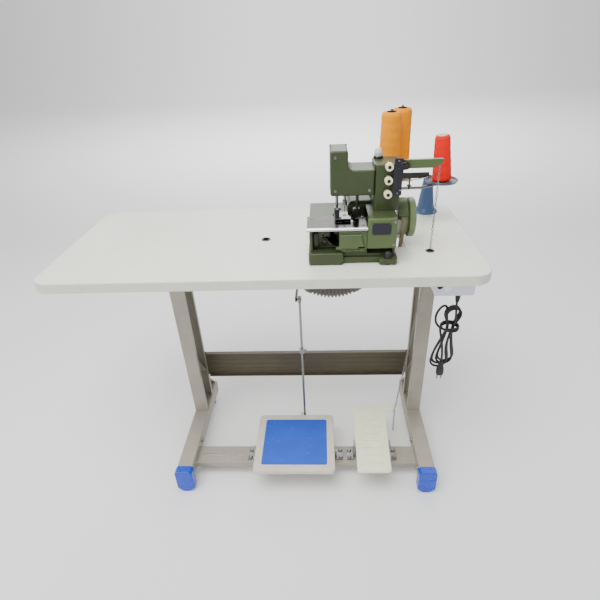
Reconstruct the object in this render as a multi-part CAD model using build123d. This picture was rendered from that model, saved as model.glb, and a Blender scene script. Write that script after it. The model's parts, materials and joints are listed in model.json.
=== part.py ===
from build123d import *
import math
import os

# Serger overlock head on an industrial sewing table with a steel stand.
# Millimetres, +Z up, -Y towards the operator. Everything is placed from a datum that lies
# RIGHT_REACH from the table's right end, on the floor; save() moves it to the centre of the base.

# ---------------------------------------------------------------- table
TABLE_WIDTH = 1200.0
TABLE_DEPTH = 535.0
TABLE_HEIGHT = 760.0
BOARD_THICK = 28.0
EDGE_BAND = 3.0
EDGE_ROUND = 2.0
TABLE_CORNER_R = 50.0
RIGHT_REACH = 600.0
BACK_EDGE = 267.5
GROMMET_X, GROMMET_Y = 2.0, -10.0
GROMMET_HOLE_R = 11.0
GROMMET_WALL = 2.0
GROMMET_LIP = 3.0
LIP_THICK = 1.5
CHAIN_X, CHAIN_Y = 467.0, -116.0
CHAIN_HOLE_R = 9.0
CHAIN_R = 2.6
CHAIN_END_Z = 30.0

# ---------------------------------------------------------------- stand
LEFT_OVERHANG = 285.0
RIGHT_OVERHANG = 86.0
COLUMN_WIDTH = 45.0
COLUMN_DEPTH = 95.0
COLUMN_FRONT = -50.0
COLUMN_WALL = 3.0
RAIL_HEIGHT = 20.0
RAIL_WIDTH = 38.0
RAIL_WALL = 3.0
RAIL_FRONT, RAIL_BACK = -125.0, 190.0
FOOT_WIDTH = 50.0
FOOT_BOTTOM, FOOT_TOP = 40.0, 90.0
FOOT_REACH = 327.5
FOOT_BACK = 115.0
CAP_WIDTH = 57.0
CAP_DEPTH = 27.0
CAP_TOP = 93.0
CAP_OVERLAP = 3.0
GLIDE_R = 14.0
BEAM_BOTTOM, BEAM_TOP = 186.0, 292.0
BEAM_WALL = 3.0
BEAM_FLANGE = 12.0
BEAM_RIBS = 3
BEAM_END_GAP = 5.0
BRACE_WIDTH = 34.0
BRACE_THICK = 4.0
BOLT_R = 4.0
BOLT_HEAD_R = 7.0
BOLT_HEAD = 5.0

# ---------------------------------------------------------------- pedals
BAR_FRONT, BAR_BACK = -260.0, -190.0
BAR_TOP = 58.0
BAR_DEPTH = 16.0
BAR_WALL = 3.0
PIVOT_Y = -225.0
PIVOT_R = 5.0
RUN_CLEAR = 0.05
TREADLE_X = 67.5
TREADLE_WIDTH = 264.0
TREADLE_FRONT, TREADLE_BACK = -326.0, -85.0
TREADLE_TOP = 103.0
TREADLE_THICK = 15.0
TREADLE_RIM = 25.0
TREADLE_PIVOT_Z = 80.0
MAT_THICK = 3.0
LIFT_X = 323.0
LIFT_WIDTH = 107.0
LIFT_LENGTH = 240.0
LIFT_TILT = 13.4
LIFT_PIVOT_Z = 108.0
LIFT_RISE = 14.0
LIFT_SHEET = 2.5
LIFT_FLANGE = 10.0
LIFT_RIBS = 7
LIFT_RIB_HEIGHT = 4.0
RING_Y = 132.0
RING_R = 8.0
RING_WIRE_R = 1.3
RING_PLAY = 2.5
EAR_THICK = 4.0
EAR_GAP = 3.0

# ---------------------------------------------------------------- drive
MOTOR_Y = 30.0
MOTOR_DROP = 130.0
MOTOR_R = 86.0
MOTOR_LEFT, MOTOR_RIGHT = 128.0, 272.0
MOTOR_FINS = 12
MOTOR_BARREL = 16.0
MOTOR_GROOVE = 5.0
MOTOR_SHELL = 24.0
SHAFT_R = 8.0
BELT_X = 393.5
BELT_WIDTH = 10.0
BELT_THICK = 7.0
BELT_CLEAR = 0.5
MOTOR_PULLEY_R = 30.0
HEAD_PULLEY_R = 44.0
PULLEY_LIP = 4.0
PULLEY_HALF = 8.5
SLOT_WIDTH = 26.0
PITMAN_X = 96.0
PITMAN_R = 4.0
PITMAN_PLAY = 2.5
EYE_R = 11.0
EYE_HALF = 5.0
LEVER_PIVOT_Y, LEVER_PIVOT_DROP = 50.0, 200.0
LEVER_TIP_Y, LEVER_TIP_RISE = -45.0, 8.0
TREADLE_PIN_Y = -74.0

# ---------------------------------------------------------------- switch box
SWITCH_LEFT, SWITCH_RIGHT = 471.0, 577.0
SWITCH_FRONT, SWITCH_BACK = -200.0, -132.0
SWITCH_HEIGHT = 68.0
SWITCH_WALL = 2.5
BUTTON_TRAVEL_GAP = 0.4
CORD_R = 3.6
GLAND_X, GLAND_Y = 542.0, -178.0
HANK_FRONT, HANK_BACK = -15.0, 25.0
HANK_LEAN = 3.5
PLUG_X, PLUG_TOP, PLUG_BOTTOM = -24.0, -186.0, -232.0
PLUG_HALF = 11.0
PIN_LENGTH = 18.0

# ---------------------------------------------------------------- head
BED_LEFT, BED_RIGHT = 138.0, 362.0
BED_FRONT, BED_BACK = -178.0, 15.0
BED_WALL = 8.0
FEET_HEIGHT = 4.0
BASE_THICK = 14.0
PLATE_RISE = 104.0
PLATE_THICK = 4.0
PLATE_LEFT, PLATE_RIGHT = 132.5, 287.0
PLATE_FRONT, PLATE_BACK = -195.0, -104.0
SHOULDER_LEFT = 290.0
SHOULDER_RISE = 124.0
HUMP_RISE = 132.0
HUMP_FRONT = -76.0
ARM_FRONT, ARM_BACK = -135.0, -60.0
ARM_LEFT, ARM_RIGHT = 194.0, 305.0
ARM_BOTTOM, ARM_TOP, TOWER_TOP = 167.0, 232.0, 280.0
TOWER_RIGHT = 239.0
ARM_WALL = 7.0
COLUMN_BLOCK_RIGHT = 372.0
COLUMN_BLOCK_FRONT, COLUMN_BLOCK_BACK = -130.0, -45.0
COLUMN_BLOCK_TOP = 243.0
NEEDLE_X, NEEDLE_Y = 232.0, -112.0
NEEDLE_BAR_R = 3.6
PRESSER_X, PRESSER_Y = 212.0, -100.0
PRESSER_BAR_R = 4.0
KNIFE_X, KNIFE_Y = 264.0, -118.0
KNIFE_BAR_R = 4.0
KNIFE_CUT_X = 253.5
SHAFT_Y, SHAFT_RISE = -55.0, 77.0
MAIN_SHAFT_R = 7.5
WHEEL_R = 54.0
WHEEL_LEFT, WHEEL_RIGHT = 404.5, 425.0
TENSION_X = 338.6
TENSION_RISES = (241.0, 207.0, 172.0)
TENSION_POST_R = 3.0
KNOB_R = 10.0
KNOB_DEPTH = 14.0
LEVER_PIVOT_X, LEVER_RISE = 383.0, 237.0
LEVER_TIP_X = 474.0
HOOK_RISE = 6.0
HOOK_PIN_R = 2.2

# ---------------------------------------------------------------- thread supply
CONE_HEIGHT = 168.0
CONE_BASE_R, CONE_TOP_R = 29.5, 27.0
ORANGE_SEATS = ((369.0, 80.0), (408.0, 140.0))
SEAT_RISE = 165.0
DISC_THICK = 4.0
PIN_R = 4.0
RED_SEAT = (532.0, 100.0)
RED_RISE = 130.0
RED_HEIGHT = 130.0
TRAY_R = 48.0
RED_LEAN = 5.0
BLUE_SEAT = (515.0, 195.0)
BLUE_HEIGHT = 118.0

# ---------------------------------------------------------------- worked out
FRONT_EDGE = BACK_EDGE - TABLE_DEPTH
LEFT_EDGE = RIGHT_REACH - TABLE_WIDTH
UNDERSIDE = TABLE_HEIGHT - BOARD_THICK
RAIL_BOTTOM = UNDERSIDE - RAIL_HEIGHT
COLUMN_BACK = COLUMN_FRONT + COLUMN_DEPTH
LEFT_LEG = LEFT_EDGE + LEFT_OVERHANG
RIGHT_LEG = RIGHT_REACH - RIGHT_OVERHANG
LEFT_FOOT_X = LEFT_LEG + COLUMN_WIDTH / 2
RIGHT_FOOT_X = RIGHT_LEG - COLUMN_WIDTH / 2
RING_X = LIFT_X + LIFT_WIDTH / 2 + 29 + RING_R
BAR_LEFT = LEFT_FOOT_X + FOOT_WIDTH / 2
BAR_RIGHT = RIGHT_FOOT_X - FOOT_WIDTH / 2
MOTOR_Z = TABLE_HEIGHT - MOTOR_DROP
SHAFT_Z = TABLE_HEIGHT + SHAFT_RISE
SHIFT = Vector(TABLE_WIDTH / 2 - RIGHT_REACH, (FOOT_REACH - BACK_EDGE) / 2, 0)


def rise(height):
    """Height above the table top, as a world height."""
    return TABLE_HEIGHT + height


def save(node, *solids):
    """Write one sub-part, moved from the datum to the centre of the base."""
    pieces = [piece for item in solids for piece in item.solids()]
    moved = [Pos(SHIFT.X, SHIFT.Y, SHIFT.Z) * piece for piece in pieces]
    export_step(Compound(moved) if len(moved) > 1 else moved[0], f"parts/{node}.step")


def block(x0, x1, y0, y1, z0, z1, corner=0.0, axis=Axis.Z):
    """Box between limits, its edges along one axis rounded."""
    box = Pos((x0 + x1) / 2, (y0 + y1) / 2, (z0 + z1) / 2) * Box(x1 - x0, y1 - y0, z1 - z0)
    return fillet(box.edges().filter_by(axis), corner) if corner else box


def rod_x(x0, x1, y, z, radius):
    return Pos((x0 + x1) / 2, y, z) * Rot(0, 90, 0) * Cylinder(radius, x1 - x0)


def rod_y(x, y0, y1, z, radius):
    return Pos(x, (y0 + y1) / 2, z) * Rot(90, 0, 0) * Cylinder(radius, y1 - y0)


def rod_z(x, y, z0, z1, radius):
    return Pos(x, y, (z0 + z1) / 2) * Cylinder(radius, z1 - z0)


def rod_between(start, end, radius):
    """Round bar from one point to another."""
    along = Vector(*end) - Vector(*start)
    plane = Plane(origin=Vector(*start) + along * 0.5, z_dir=along)
    return plane.location * Cylinder(radius, along.length)


def turned_x(profile, y, z):
    """Solid of revolution about a line along X; the profile is (x, radius) points."""
    outline = Polyline(*[(x, 0, radius) for x, radius in profile], close=True)
    return Pos(0, y, z) * revolve(make_face(outline), Axis.X, 360)


def turned_z(profile, x, y, z):
    """Solid of revolution about a line along Z; the profile is (radius, height) points."""
    outline = Polyline(*[(radius, 0, height) for radius, height in profile], close=True)
    return Pos(x, y, z) * revolve(make_face(outline), Axis.Z, 360)


def turning_left(outline):
    """The outline, reversed if it runs clockwise."""
    pairs = zip(outline, outline[1:] + outline[:1])
    area = sum(a[0] * b[1] - b[0] * a[1] for a, b in pairs)
    return outline if area > 0 else outline[::-1]


def prism_x(outline, x0, x1):
    """Extrusion along X of a (y, z) outline."""
    outline = turning_left(outline)
    face = make_face(Polyline(*[(x0, y, z) for y, z in outline], close=True))
    return extrude(face, amount=x1 - x0, dir=(1, 0, 0))


def prism_y(outline, y0, y1):
    """Extrusion along Y of an (x, z) outline."""
    outline = turning_left(outline)[::-1]
    face = make_face(Polyline(*[(x, y0, z) for x, z in outline], close=True))
    return extrude(face, amount=y1 - y0, dir=(0, 1, 0))


def slot_plan(x0, x1, y, half_width, z0, z1):
    """Upright round-ended slot along X, used as a cutter."""
    body = block(x0 + half_width, x1 - half_width, y - half_width, y + half_width, z0, z1)
    return body + rod_z(x0 + half_width, y, z0, z1, half_width) + rod_z(x1 - half_width, y, z0, z1, half_width)


def belt_tangent(side):
    """Ends of one straight belt run on the pitch circles; side -1 is the front run."""
    dy, dz = MOTOR_Y - SHAFT_Y, MOTOR_Z - SHAFT_Z
    span = math.hypot(dy, dz)
    lean = math.atan2(dz, dy) + side * math.acos((HEAD_PULLEY_R - MOTOR_PULLEY_R) / span)
    normal = (math.cos(lean), math.sin(lean))
    top = (SHAFT_Y + HEAD_PULLEY_R * normal[0], SHAFT_Z + HEAD_PULLEY_R * normal[1])
    bottom = (MOTOR_Y + MOTOR_PULLEY_R * normal[0], MOTOR_Z + MOTOR_PULLEY_R * normal[1])
    return top, bottom, normal


def belt_y_at(side, z):
    top, bottom, _ = belt_tangent(side)
    return top[0] + (bottom[0] - top[0]) * (top[1] - z) / (top[1] - bottom[1])


def belt_region(offset):
    """Filled belt outline, its pitch line moved out by the offset, as a thick slab across the belt."""
    sides = []
    for side in (-1, 1):
        top, bottom, normal = belt_tangent(side)
        shift = (normal[0] * offset, normal[1] * offset)
        sides.append([(p[0] + shift[0], p[1] + shift[1]) for p in (top, bottom)])
    x0, x1 = BELT_X - BELT_WIDTH / 2, BELT_X + BELT_WIDTH / 2
    corners = [sides[0][0], sides[0][1], sides[1][1], sides[1][0]]
    slab = prism_x(corners, x0, x1)
    slab += rod_x(x0, x1, SHAFT_Y, SHAFT_Z, HEAD_PULLEY_R + offset)
    return slab + rod_x(x0, x1, MOTOR_Y, MOTOR_Z, MOTOR_PULLEY_R + offset)


def belt_pulley(x, radius, y, z):
    """Grooved pulley whose groove clears the belt on all sides."""
    half = BELT_WIDTH / 2 + BELT_CLEAR
    floor = radius - BELT_THICK / 2 - BELT_CLEAR
    rim = radius + PULLEY_LIP
    profile = [(x - PULLEY_HALF, 0), (x - PULLEY_HALF, rim), (x - half, rim), (x - half, floor),
               (x + half, floor), (x + half, rim), (x + PULLEY_HALF, rim), (x + PULLEY_HALF, 0)]
    return turned_x(profile, y, z)


def bolt_down(x, y, z, length):
    """Button-head bolt, its head standing on z and its shank going down."""
    head = turned_z([(0, 0), (BOLT_HEAD_R, 0), (BOLT_HEAD_R, BOLT_HEAD * 0.4),
                     (BOLT_HEAD_R * 0.55, BOLT_HEAD), (0, BOLT_HEAD)], x, y, z)
    return head + rod_z(x, y, z - length, z, BOLT_R)


# ================================================================ table
def build_table():
    board_top = TABLE_HEIGHT
    inner = block(LEFT_EDGE + EDGE_BAND, RIGHT_REACH - EDGE_BAND, FRONT_EDGE + EDGE_BAND, BACK_EDGE - EDGE_BAND,
                  UNDERSIDE, board_top, TABLE_CORNER_R - EDGE_BAND)
    outer = block(LEFT_EDGE, RIGHT_REACH, FRONT_EDGE, BACK_EDGE, UNDERSIDE, board_top, TABLE_CORNER_R)
    outer = fillet(outer.edges().group_by(Axis.Z)[-1] + outer.edges().group_by(Axis.Z)[0], EDGE_ROUND)
    slot_front = belt_y_at(-1, board_top) - 22
    slot_back = belt_y_at(1, UNDERSIDE) + 14
    slot = block(BELT_X - SLOT_WIDTH / 2, BELT_X + SLOT_WIDTH / 2, slot_front, slot_back,
                 UNDERSIDE - 1, board_top + 1, 6)
    holes = [rod_z(GROMMET_X, GROMMET_Y, UNDERSIDE - 1, board_top + 1, GROMMET_HOLE_R),
             rod_z(CHAIN_X, CHAIN_Y, UNDERSIDE - 1, board_top + 1, CHAIN_HOLE_R)]
    save("table_board", inner - slot - holes)
    save("edge_band", outer - inner)
    grommets = []
    for x, y, hole_r in ((GROMMET_X, GROMMET_Y, GROMMET_HOLE_R), (CHAIN_X, CHAIN_Y, CHAIN_HOLE_R)):
        bore_r = hole_r - GROMMET_WALL
        profile = [(bore_r, UNDERSIDE), (hole_r, UNDERSIDE), (hole_r, board_top),
                   (hole_r + GROMMET_LIP, board_top), (hole_r + GROMMET_LIP, board_top + LIP_THICK * 0.5),
                   (hole_r + GROMMET_LIP * 0.6, board_top + LIP_THICK), (bore_r, board_top + LIP_THICK)]
        grommets.append(turned_z(profile, x, y, 0))
    save("table_grommets", *grommets)


# ================================================================ stand
def channel_column(outer_x, inward):
    """C-channel column, its web on the outer side and open towards the middle of the stand."""
    inner_x = outer_x + inward * COLUMN_WIDTH
    x0, x1 = min(outer_x, inner_x), max(outer_x, inner_x)
    column = block(x0, x1, COLUMN_FRONT, COLUMN_BACK, FOOT_TOP, RAIL_BOTTOM)
    hollow0, hollow1 = (x0 + COLUMN_WALL, x1 + 1) if inward > 0 else (x0 - 1, x1 - COLUMN_WALL)
    column -= block(hollow0, hollow1, COLUMN_FRONT + COLUMN_WALL, COLUMN_BACK - COLUMN_WALL,
                    FOOT_TOP - 1, RAIL_BOTTOM + 1)
    lips = [block(inner_x - inward * COLUMN_WALL if inward > 0 else inner_x,
                  inner_x if inward > 0 else inner_x - inward * COLUMN_WALL, y0, y1, FOOT_TOP, RAIL_BOTTOM)
            for y0, y1 in ((COLUMN_FRONT + COLUMN_WALL, COLUMN_FRONT + 4 * COLUMN_WALL),
                           (COLUMN_BACK - 4 * COLUMN_WALL, COLUMN_BACK - COLUMN_WALL))]
    return column + lips


def flat_brace(x0, x1, start, end):
    """Sloping flat bar between two (y, z) points, its ends cut level or upright by the caller."""
    (y0, z0), (y1, z1) = start, end
    length = math.hypot(y1 - y0, z1 - z0)
    ny, nz = -(z1 - z0) / length * BRACE_THICK, (y1 - y0) / length * BRACE_THICK
    return prism_x([(y0, z0), (y1, z1), (y1 + ny, z1 + nz), (y0 + ny, z0 + nz)], x0, x1)


def build_stand():
    legs = ((LEFT_LEG, 1, LEFT_FOOT_X), (RIGHT_LEG, -1, RIGHT_FOOT_X))
    columns, feet, struts, caps, bolts = [], [], [], [], []
    for outer_x, inward, foot_x in legs:
        columns.append(channel_column(outer_x, inward))
        foot = block(foot_x - FOOT_WIDTH / 2, foot_x + FOOT_WIDTH / 2, CAP_DEPTH - FOOT_REACH - CAP_OVERLAP,
                     FOOT_BACK, FOOT_BOTTOM, FOOT_TOP, 4, Axis.Y)
        feet.append(foot)
        rail0, rail1 = foot_x - RAIL_WIDTH / 2, foot_x + RAIL_WIDTH / 2
        rail = block(rail0, rail1, RAIL_FRONT, RAIL_BACK, RAIL_BOTTOM, UNDERSIDE)
        for y0, y1 in ((RAIL_FRONT, COLUMN_FRONT), (COLUMN_BACK, RAIL_BACK)):
            rail -= block(rail0 + RAIL_WALL, rail1 - RAIL_WALL, y0 + RAIL_WALL, y1 - RAIL_WALL,
                          RAIL_BOTTOM - 1, UNDERSIDE - RAIL_WALL)
        struts.append(rail)
        inner0, inner1 = foot_x - BRACE_WIDTH / 2, foot_x + BRACE_WIDTH / 2
        stay = flat_brace(inner0, inner1, (COLUMN_FRONT, BEAM_TOP + 48), (COLUMN_BACK, BEAM_BOTTOM + 14))
        struts.append(stay & block(inner0, inner1, COLUMN_FRONT + COLUMN_WALL, COLUMN_BACK - COLUMN_WALL,
                                   FOOT_TOP, RAIL_BOTTOM))
        wedge = flat_brace(inner0, inner1, (COLUMN_BACK - 4, BEAM_BOTTOM - 12), (FOOT_BACK, FOOT_TOP - 8))
        struts.append(wedge & block(inner0, inner1, COLUMN_BACK, FOOT_BACK, FOOT_TOP, BEAM_BOTTOM))
        shield = [(-CAP_WIDTH / 2, CAP_TOP - 8), (-CAP_WIDTH / 2 + 7, CAP_TOP), (CAP_WIDTH / 2 - 7, CAP_TOP),
                  (CAP_WIDTH / 2, CAP_TOP - 8), (CAP_WIDTH / 2, 16), (9, 0), (-9, 0), (-CAP_WIDTH / 2, 16)]
        cap = prism_y([(foot_x + x, z) for x, z in shield], -FOOT_REACH, CAP_DEPTH - FOOT_REACH)
        cap = fillet(cap.faces().sort_by(Axis.Y)[0].edges(), 3)
        cap -= block(foot_x - FOOT_WIDTH / 2, foot_x + FOOT_WIDTH / 2, CAP_DEPTH - FOOT_REACH - CAP_OVERLAP,
                     0, FOOT_BOTTOM, FOOT_TOP)
        caps.append(cap)
        caps.append(turned_z([(0, 0), (GLIDE_R, 0), (GLIDE_R, 9), (GLIDE_R * 0.6, 14),
                              (GLIDE_R * 0.6, FOOT_BOTTOM), (0, FOOT_BOTTOM)], foot_x, FOOT_BACK - 28, 0))
        for y in (RAIL_FRONT + 25, COLUMN_BACK + 35, RAIL_BACK - 30):
            bolts.append(rod_z(foot_x, y, RAIL_BOTTOM - BOLT_HEAD, RAIL_BOTTOM, BOLT_HEAD_R))
        for z in (BEAM_BOTTOM + 30, BEAM_TOP - 30):
            bolts.append(rod_y(foot_x, COLUMN_BACK + BEAM_WALL, COLUMN_BACK + BEAM_WALL + BOLT_HEAD, z,
                               BOLT_HEAD_R))
        inner_side = foot_x + inward * FOOT_WIDTH / 2
        for y in (-286, -172):
            ends = sorted((inner_side, inner_side + inward * BOLT_HEAD))
            bolts.append(rod_x(ends[0], ends[1], y, (FOOT_BOTTOM + FOOT_TOP) / 2 + 5, BOLT_HEAD_R))
    save("leg_columns", *columns)
    save("foot_beams", *feet)
    save("frame_struts", *struts)
    save("foot_caps", *caps)

    # Channel open to the front; its flanges stop short of the columns it is bolted behind.
    beam = block(LEFT_LEG, RIGHT_LEG, COLUMN_BACK, COLUMN_BACK + BEAM_WALL, BEAM_BOTTOM, BEAM_TOP)
    for z in (BEAM_BOTTOM, BEAM_TOP - BEAM_WALL):
        beam += block(LEFT_LEG + COLUMN_WIDTH + BEAM_END_GAP, RIGHT_LEG - COLUMN_WIDTH - BEAM_END_GAP,
                      COLUMN_BACK - BEAM_FLANGE, COLUMN_BACK + BEAM_WALL, z, z + BEAM_WALL)
    pitch = (BEAM_TOP - BEAM_BOTTOM) / (BEAM_RIBS + 2)
    for i in range(BEAM_RIBS):
        z = BEAM_BOTTOM + pitch * (i + 1.5)
        beam -= block(LEFT_LEG + 60, RIGHT_LEG - 60, COLUMN_BACK - 1, COLUMN_BACK + 1.2, z - 3, z + 3)
    save("crossbeam", beam)

    bar = block(BAR_LEFT, BAR_RIGHT, BAR_FRONT, BAR_BACK, BAR_TOP - BAR_DEPTH, BAR_TOP)
    bar -= block(BAR_LEFT + BAR_WALL, BAR_RIGHT - BAR_WALL, BAR_FRONT + BAR_WALL, BAR_BACK - BAR_WALL,
                 BAR_TOP - BAR_DEPTH - 1, BAR_TOP - BAR_WALL)
    bar_y = (BAR_FRONT + BAR_BACK) / 2
    for x0, x1 in ((BAR_LEFT + 14, BAR_LEFT + 95), (BAR_LEFT + 133, BAR_LEFT + 160),
                   (BAR_RIGHT - 45, BAR_RIGHT - 22)):
        bar -= slot_plan(x0, x1, bar_y, 4, BAR_TOP - BAR_WALL - 1, BAR_TOP + 1)
    save("treadle_bar", bar)
    save("stand_bolts", *bolts)


# ================================================================ pedals
def pivot_bracket(x0, foot_dir, pivot_z):
    """L-shaped ear bolted on the bar: the upright is EAR_THICK wide from x0, the foot points away."""
    top = pivot_z + PIVOT_R + 6
    upright = block(x0, x0 + EAR_THICK, PIVOT_Y - 16, PIVOT_Y + 16, BAR_TOP, top)
    upright = fillet(upright.edges().filter_by(Axis.X).group_by(Axis.Z)[-1], 10)
    foot_x = sorted((x0 + EAR_THICK / 2, x0 + EAR_THICK / 2 + foot_dir * 24))
    ear = upright + block(foot_x[0], foot_x[1], PIVOT_Y - 22, PIVOT_Y + 22, BAR_TOP, BAR_TOP + 4)
    ear += [bolt_down((foot_x[0] + foot_x[1]) / 2 + foot_dir * 3, PIVOT_Y + dy, BAR_TOP + 4, 3) for dy in (-14, 14)]
    return ear - rod_x(x0 - 1, x0 + EAR_THICK + 1, PIVOT_Y, pivot_z, PIVOT_R + RUN_CLEAR)


def build_pedals():
    left, right = TREADLE_X - TREADLE_WIDTH / 2, TREADLE_X + TREADLE_WIDTH / 2
    lift_left, lift_right = LIFT_X - LIFT_WIDTH / 2, LIFT_X + LIFT_WIDTH / 2
    save("pedal_brackets",
         pivot_bracket(left - EAR_GAP - EAR_THICK, -1, TREADLE_PIVOT_Z),
         pivot_bracket(right + EAR_GAP, 1, TREADLE_PIVOT_Z),
         pivot_bracket(lift_left - EAR_GAP - EAR_THICK, -1, LIFT_PIVOT_Z),
         pivot_bracket(lift_right + EAR_GAP, 1, LIFT_PIVOT_Z))

    bottom = TREADLE_TOP - TREADLE_THICK
    pan = block(left, right, TREADLE_FRONT, TREADLE_BACK, bottom, TREADLE_TOP, 16)
    pan = fillet(pan.edges().group_by(Axis.Z)[-1], 3)
    mat_box = (left + TREADLE_RIM, right - TREADLE_RIM, TREADLE_FRONT + TREADLE_RIM - 1,
               TREADLE_BACK - TREADLE_RIM + 1)
    pan -= block(*mat_box, TREADLE_TOP - MAT_THICK + 1, TREADLE_TOP + 1, 8)
    pan -= block(left + 5, right - 5, TREADLE_FRONT + 5, TREADLE_BACK - 5, bottom - 1, TREADLE_TOP - 8, 11)
    for i in range(1, 4):
        x = left + i * TREADLE_WIDTH / 4
        pan += block(x - 2, x + 2, TREADLE_FRONT + 5, TREADLE_BACK - 5, bottom, TREADLE_TOP - 8)
    hub_z = TREADLE_PIVOT_Z
    for x0, x1, stub0, stub1 in ((left, left + 14, left - EAR_GAP - EAR_THICK - 1, left),
                                 (right - 14, right, right, right + EAR_GAP + EAR_THICK + 1)):
        pan += block(x0, x1, PIVOT_Y - 12, PIVOT_Y + 12, hub_z, TREADLE_TOP - 6)
        pan += rod_x(x0, x1, PIVOT_Y, hub_z, 12)
        pan += rod_x(stub0, stub1, PIVOT_Y, hub_z, PIVOT_R)
    ear_x = PITMAN_X - 8
    pan += block(ear_x - 5, ear_x, TREADLE_BACK - 22, TREADLE_PIN_Y + 8, hub_z - 4, TREADLE_TOP - 4)
    pan += rod_x(ear_x - 5, ear_x, TREADLE_PIN_Y, hub_z + 4, 9)
    pan += rod_x(ear_x, ear_x + 14, TREADLE_PIN_Y, hub_z + 4, PITMAN_R)
    save("treadle_pan", pan)
    mat = block(*mat_box, TREADLE_TOP - MAT_THICK + 1, TREADLE_TOP + 1, 8)
    save("treadle_mat", fillet(mat.edges().group_by(Axis.Z)[-1], 1))

    # The lift pedal is drawn level over its pivot, then tilted with its toe end up.
    tilt = Pos(0, PIVOT_Y, LIFT_PIVOT_Z) * Rot(LIFT_TILT, 0, 0)
    front, back = -LIFT_LENGTH / 2 + 20, LIFT_LENGTH / 2 + 20
    top = LIFT_RISE + LIFT_SHEET
    tray = block(lift_left, lift_right, front, back, top - LIFT_FLANGE, top, 7)
    tray = fillet(tray.edges().group_by(Axis.Z)[-1], 2)
    tray -= block(lift_left + LIFT_SHEET, lift_right - LIFT_SHEET, front + LIFT_SHEET, back - LIFT_SHEET,
                  top - LIFT_FLANGE - 1, LIFT_RISE, 4.5)
    pitch = (LIFT_LENGTH - 60) / LIFT_RIBS
    for i in range(LIFT_RIBS):
        y = front + 20 + pitch * (i + 0.5)
        rib = block(LIFT_X - 31, LIFT_X + 31, y - 5, y + 5, top - 1, top + LIFT_RIB_HEIGHT, 4.9)
        tray += fillet(rib.edges().group_by(Axis.Z)[-1], 2)
    for x in (LIFT_X - 12, LIFT_X + 12):
        tray += turned_z([(0, 0), (4.5, 0), (3.5, 2), (0, 2.6)], x, back - 14, top)
    tab = block(LIFT_X, lift_right + 29, back - 26, back - 4, LIFT_RISE, top)
    tab -= block(lift_left, lift_right - 8, back - 30, back, LIFT_RISE - 1, top + 1)
    tab += block(lift_right + 26.5, lift_right + 29, back - 26, back - 4, LIFT_RISE, top + 10)
    tray += tab + Pos(RING_X, RING_Y, LIFT_RISE + 5) * Torus(RING_R, RING_WIRE_R)
    for x0, x1, stub0, stub1 in ((lift_left + 1, lift_left + 5, lift_left - EAR_GAP - EAR_THICK - 1, lift_left + 1),
                                 (lift_right - 5, lift_right - 1, lift_right - 1,
                                  lift_right + EAR_GAP + EAR_THICK + 1)):
        tray += block(x0, x1, -12, 12, 0, top - 1)
        tray += rod_x(x0, x1, 0, 0, 12)
        tray += rod_x(stub0, stub1, 0, 0, PIVOT_R)
    save("lift_pedal", tilt * tray)

    lower = (PITMAN_X, TREADLE_PIN_Y, hub_z + 4)
    upper = (PITMAN_X, LEVER_TIP_Y, TABLE_HEIGHT - LEVER_PIVOT_DROP + LEVER_TIP_RISE)
    pitman = rod_between(lower, upper, PITMAN_R)
    ends = ((lower, PITMAN_R + RUN_CLEAR), (upper, PITMAN_R + PITMAN_PLAY))
    for (x, y, z), _ in ends:
        pitman += rod_x(x - EYE_HALF, x + EYE_HALF, y, z, EYE_R)
    for (x, y, z), bore in ends:
        pitman -= rod_x(x - EYE_HALF - 1, x + EYE_HALF + 1, y, z, bore)
    middle = [lower[i] + (upper[i] - lower[i]) * 0.6 for i in range(3)]
    pitman += Pos(*middle) * Box(16, 14, 18)
    pitman += rod_x(middle[0] + 8, middle[0] + 17, middle[1], middle[2], 4)
    save("pitman_rod", pitman)


# ================================================================ chain
def build_chain():
    """Lift chain as plain bars along its route: lever, table hole, pedal tab and hanging tail."""
    tilt = math.radians(LIFT_TILT)
    ring_y = PIVOT_Y + RING_Y * math.cos(tilt) - (LIFT_RISE + 5) * math.sin(tilt) + RING_PLAY
    ring_z = LIFT_PIVOT_Z + RING_Y * math.sin(tilt)
    points = [(CHAIN_X, CHAIN_Y, rise(LEVER_RISE + HOOK_RISE) - HOOK_PIN_R - 0.5 - CHAIN_R),
              (CHAIN_X, CHAIN_Y, UNDERSIDE - 4), (RING_X, ring_y, ring_z), (RING_X + 1, ring_y, CHAIN_END_Z)]
    chain = None
    for start, end in zip(points, points[1:]):
        bar = rod_between(start, end, CHAIN_R) + Pos(*start) * Sphere(CHAIN_R)
        chain = bar if chain is None else chain + bar
    save("lift_chain", chain)


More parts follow.
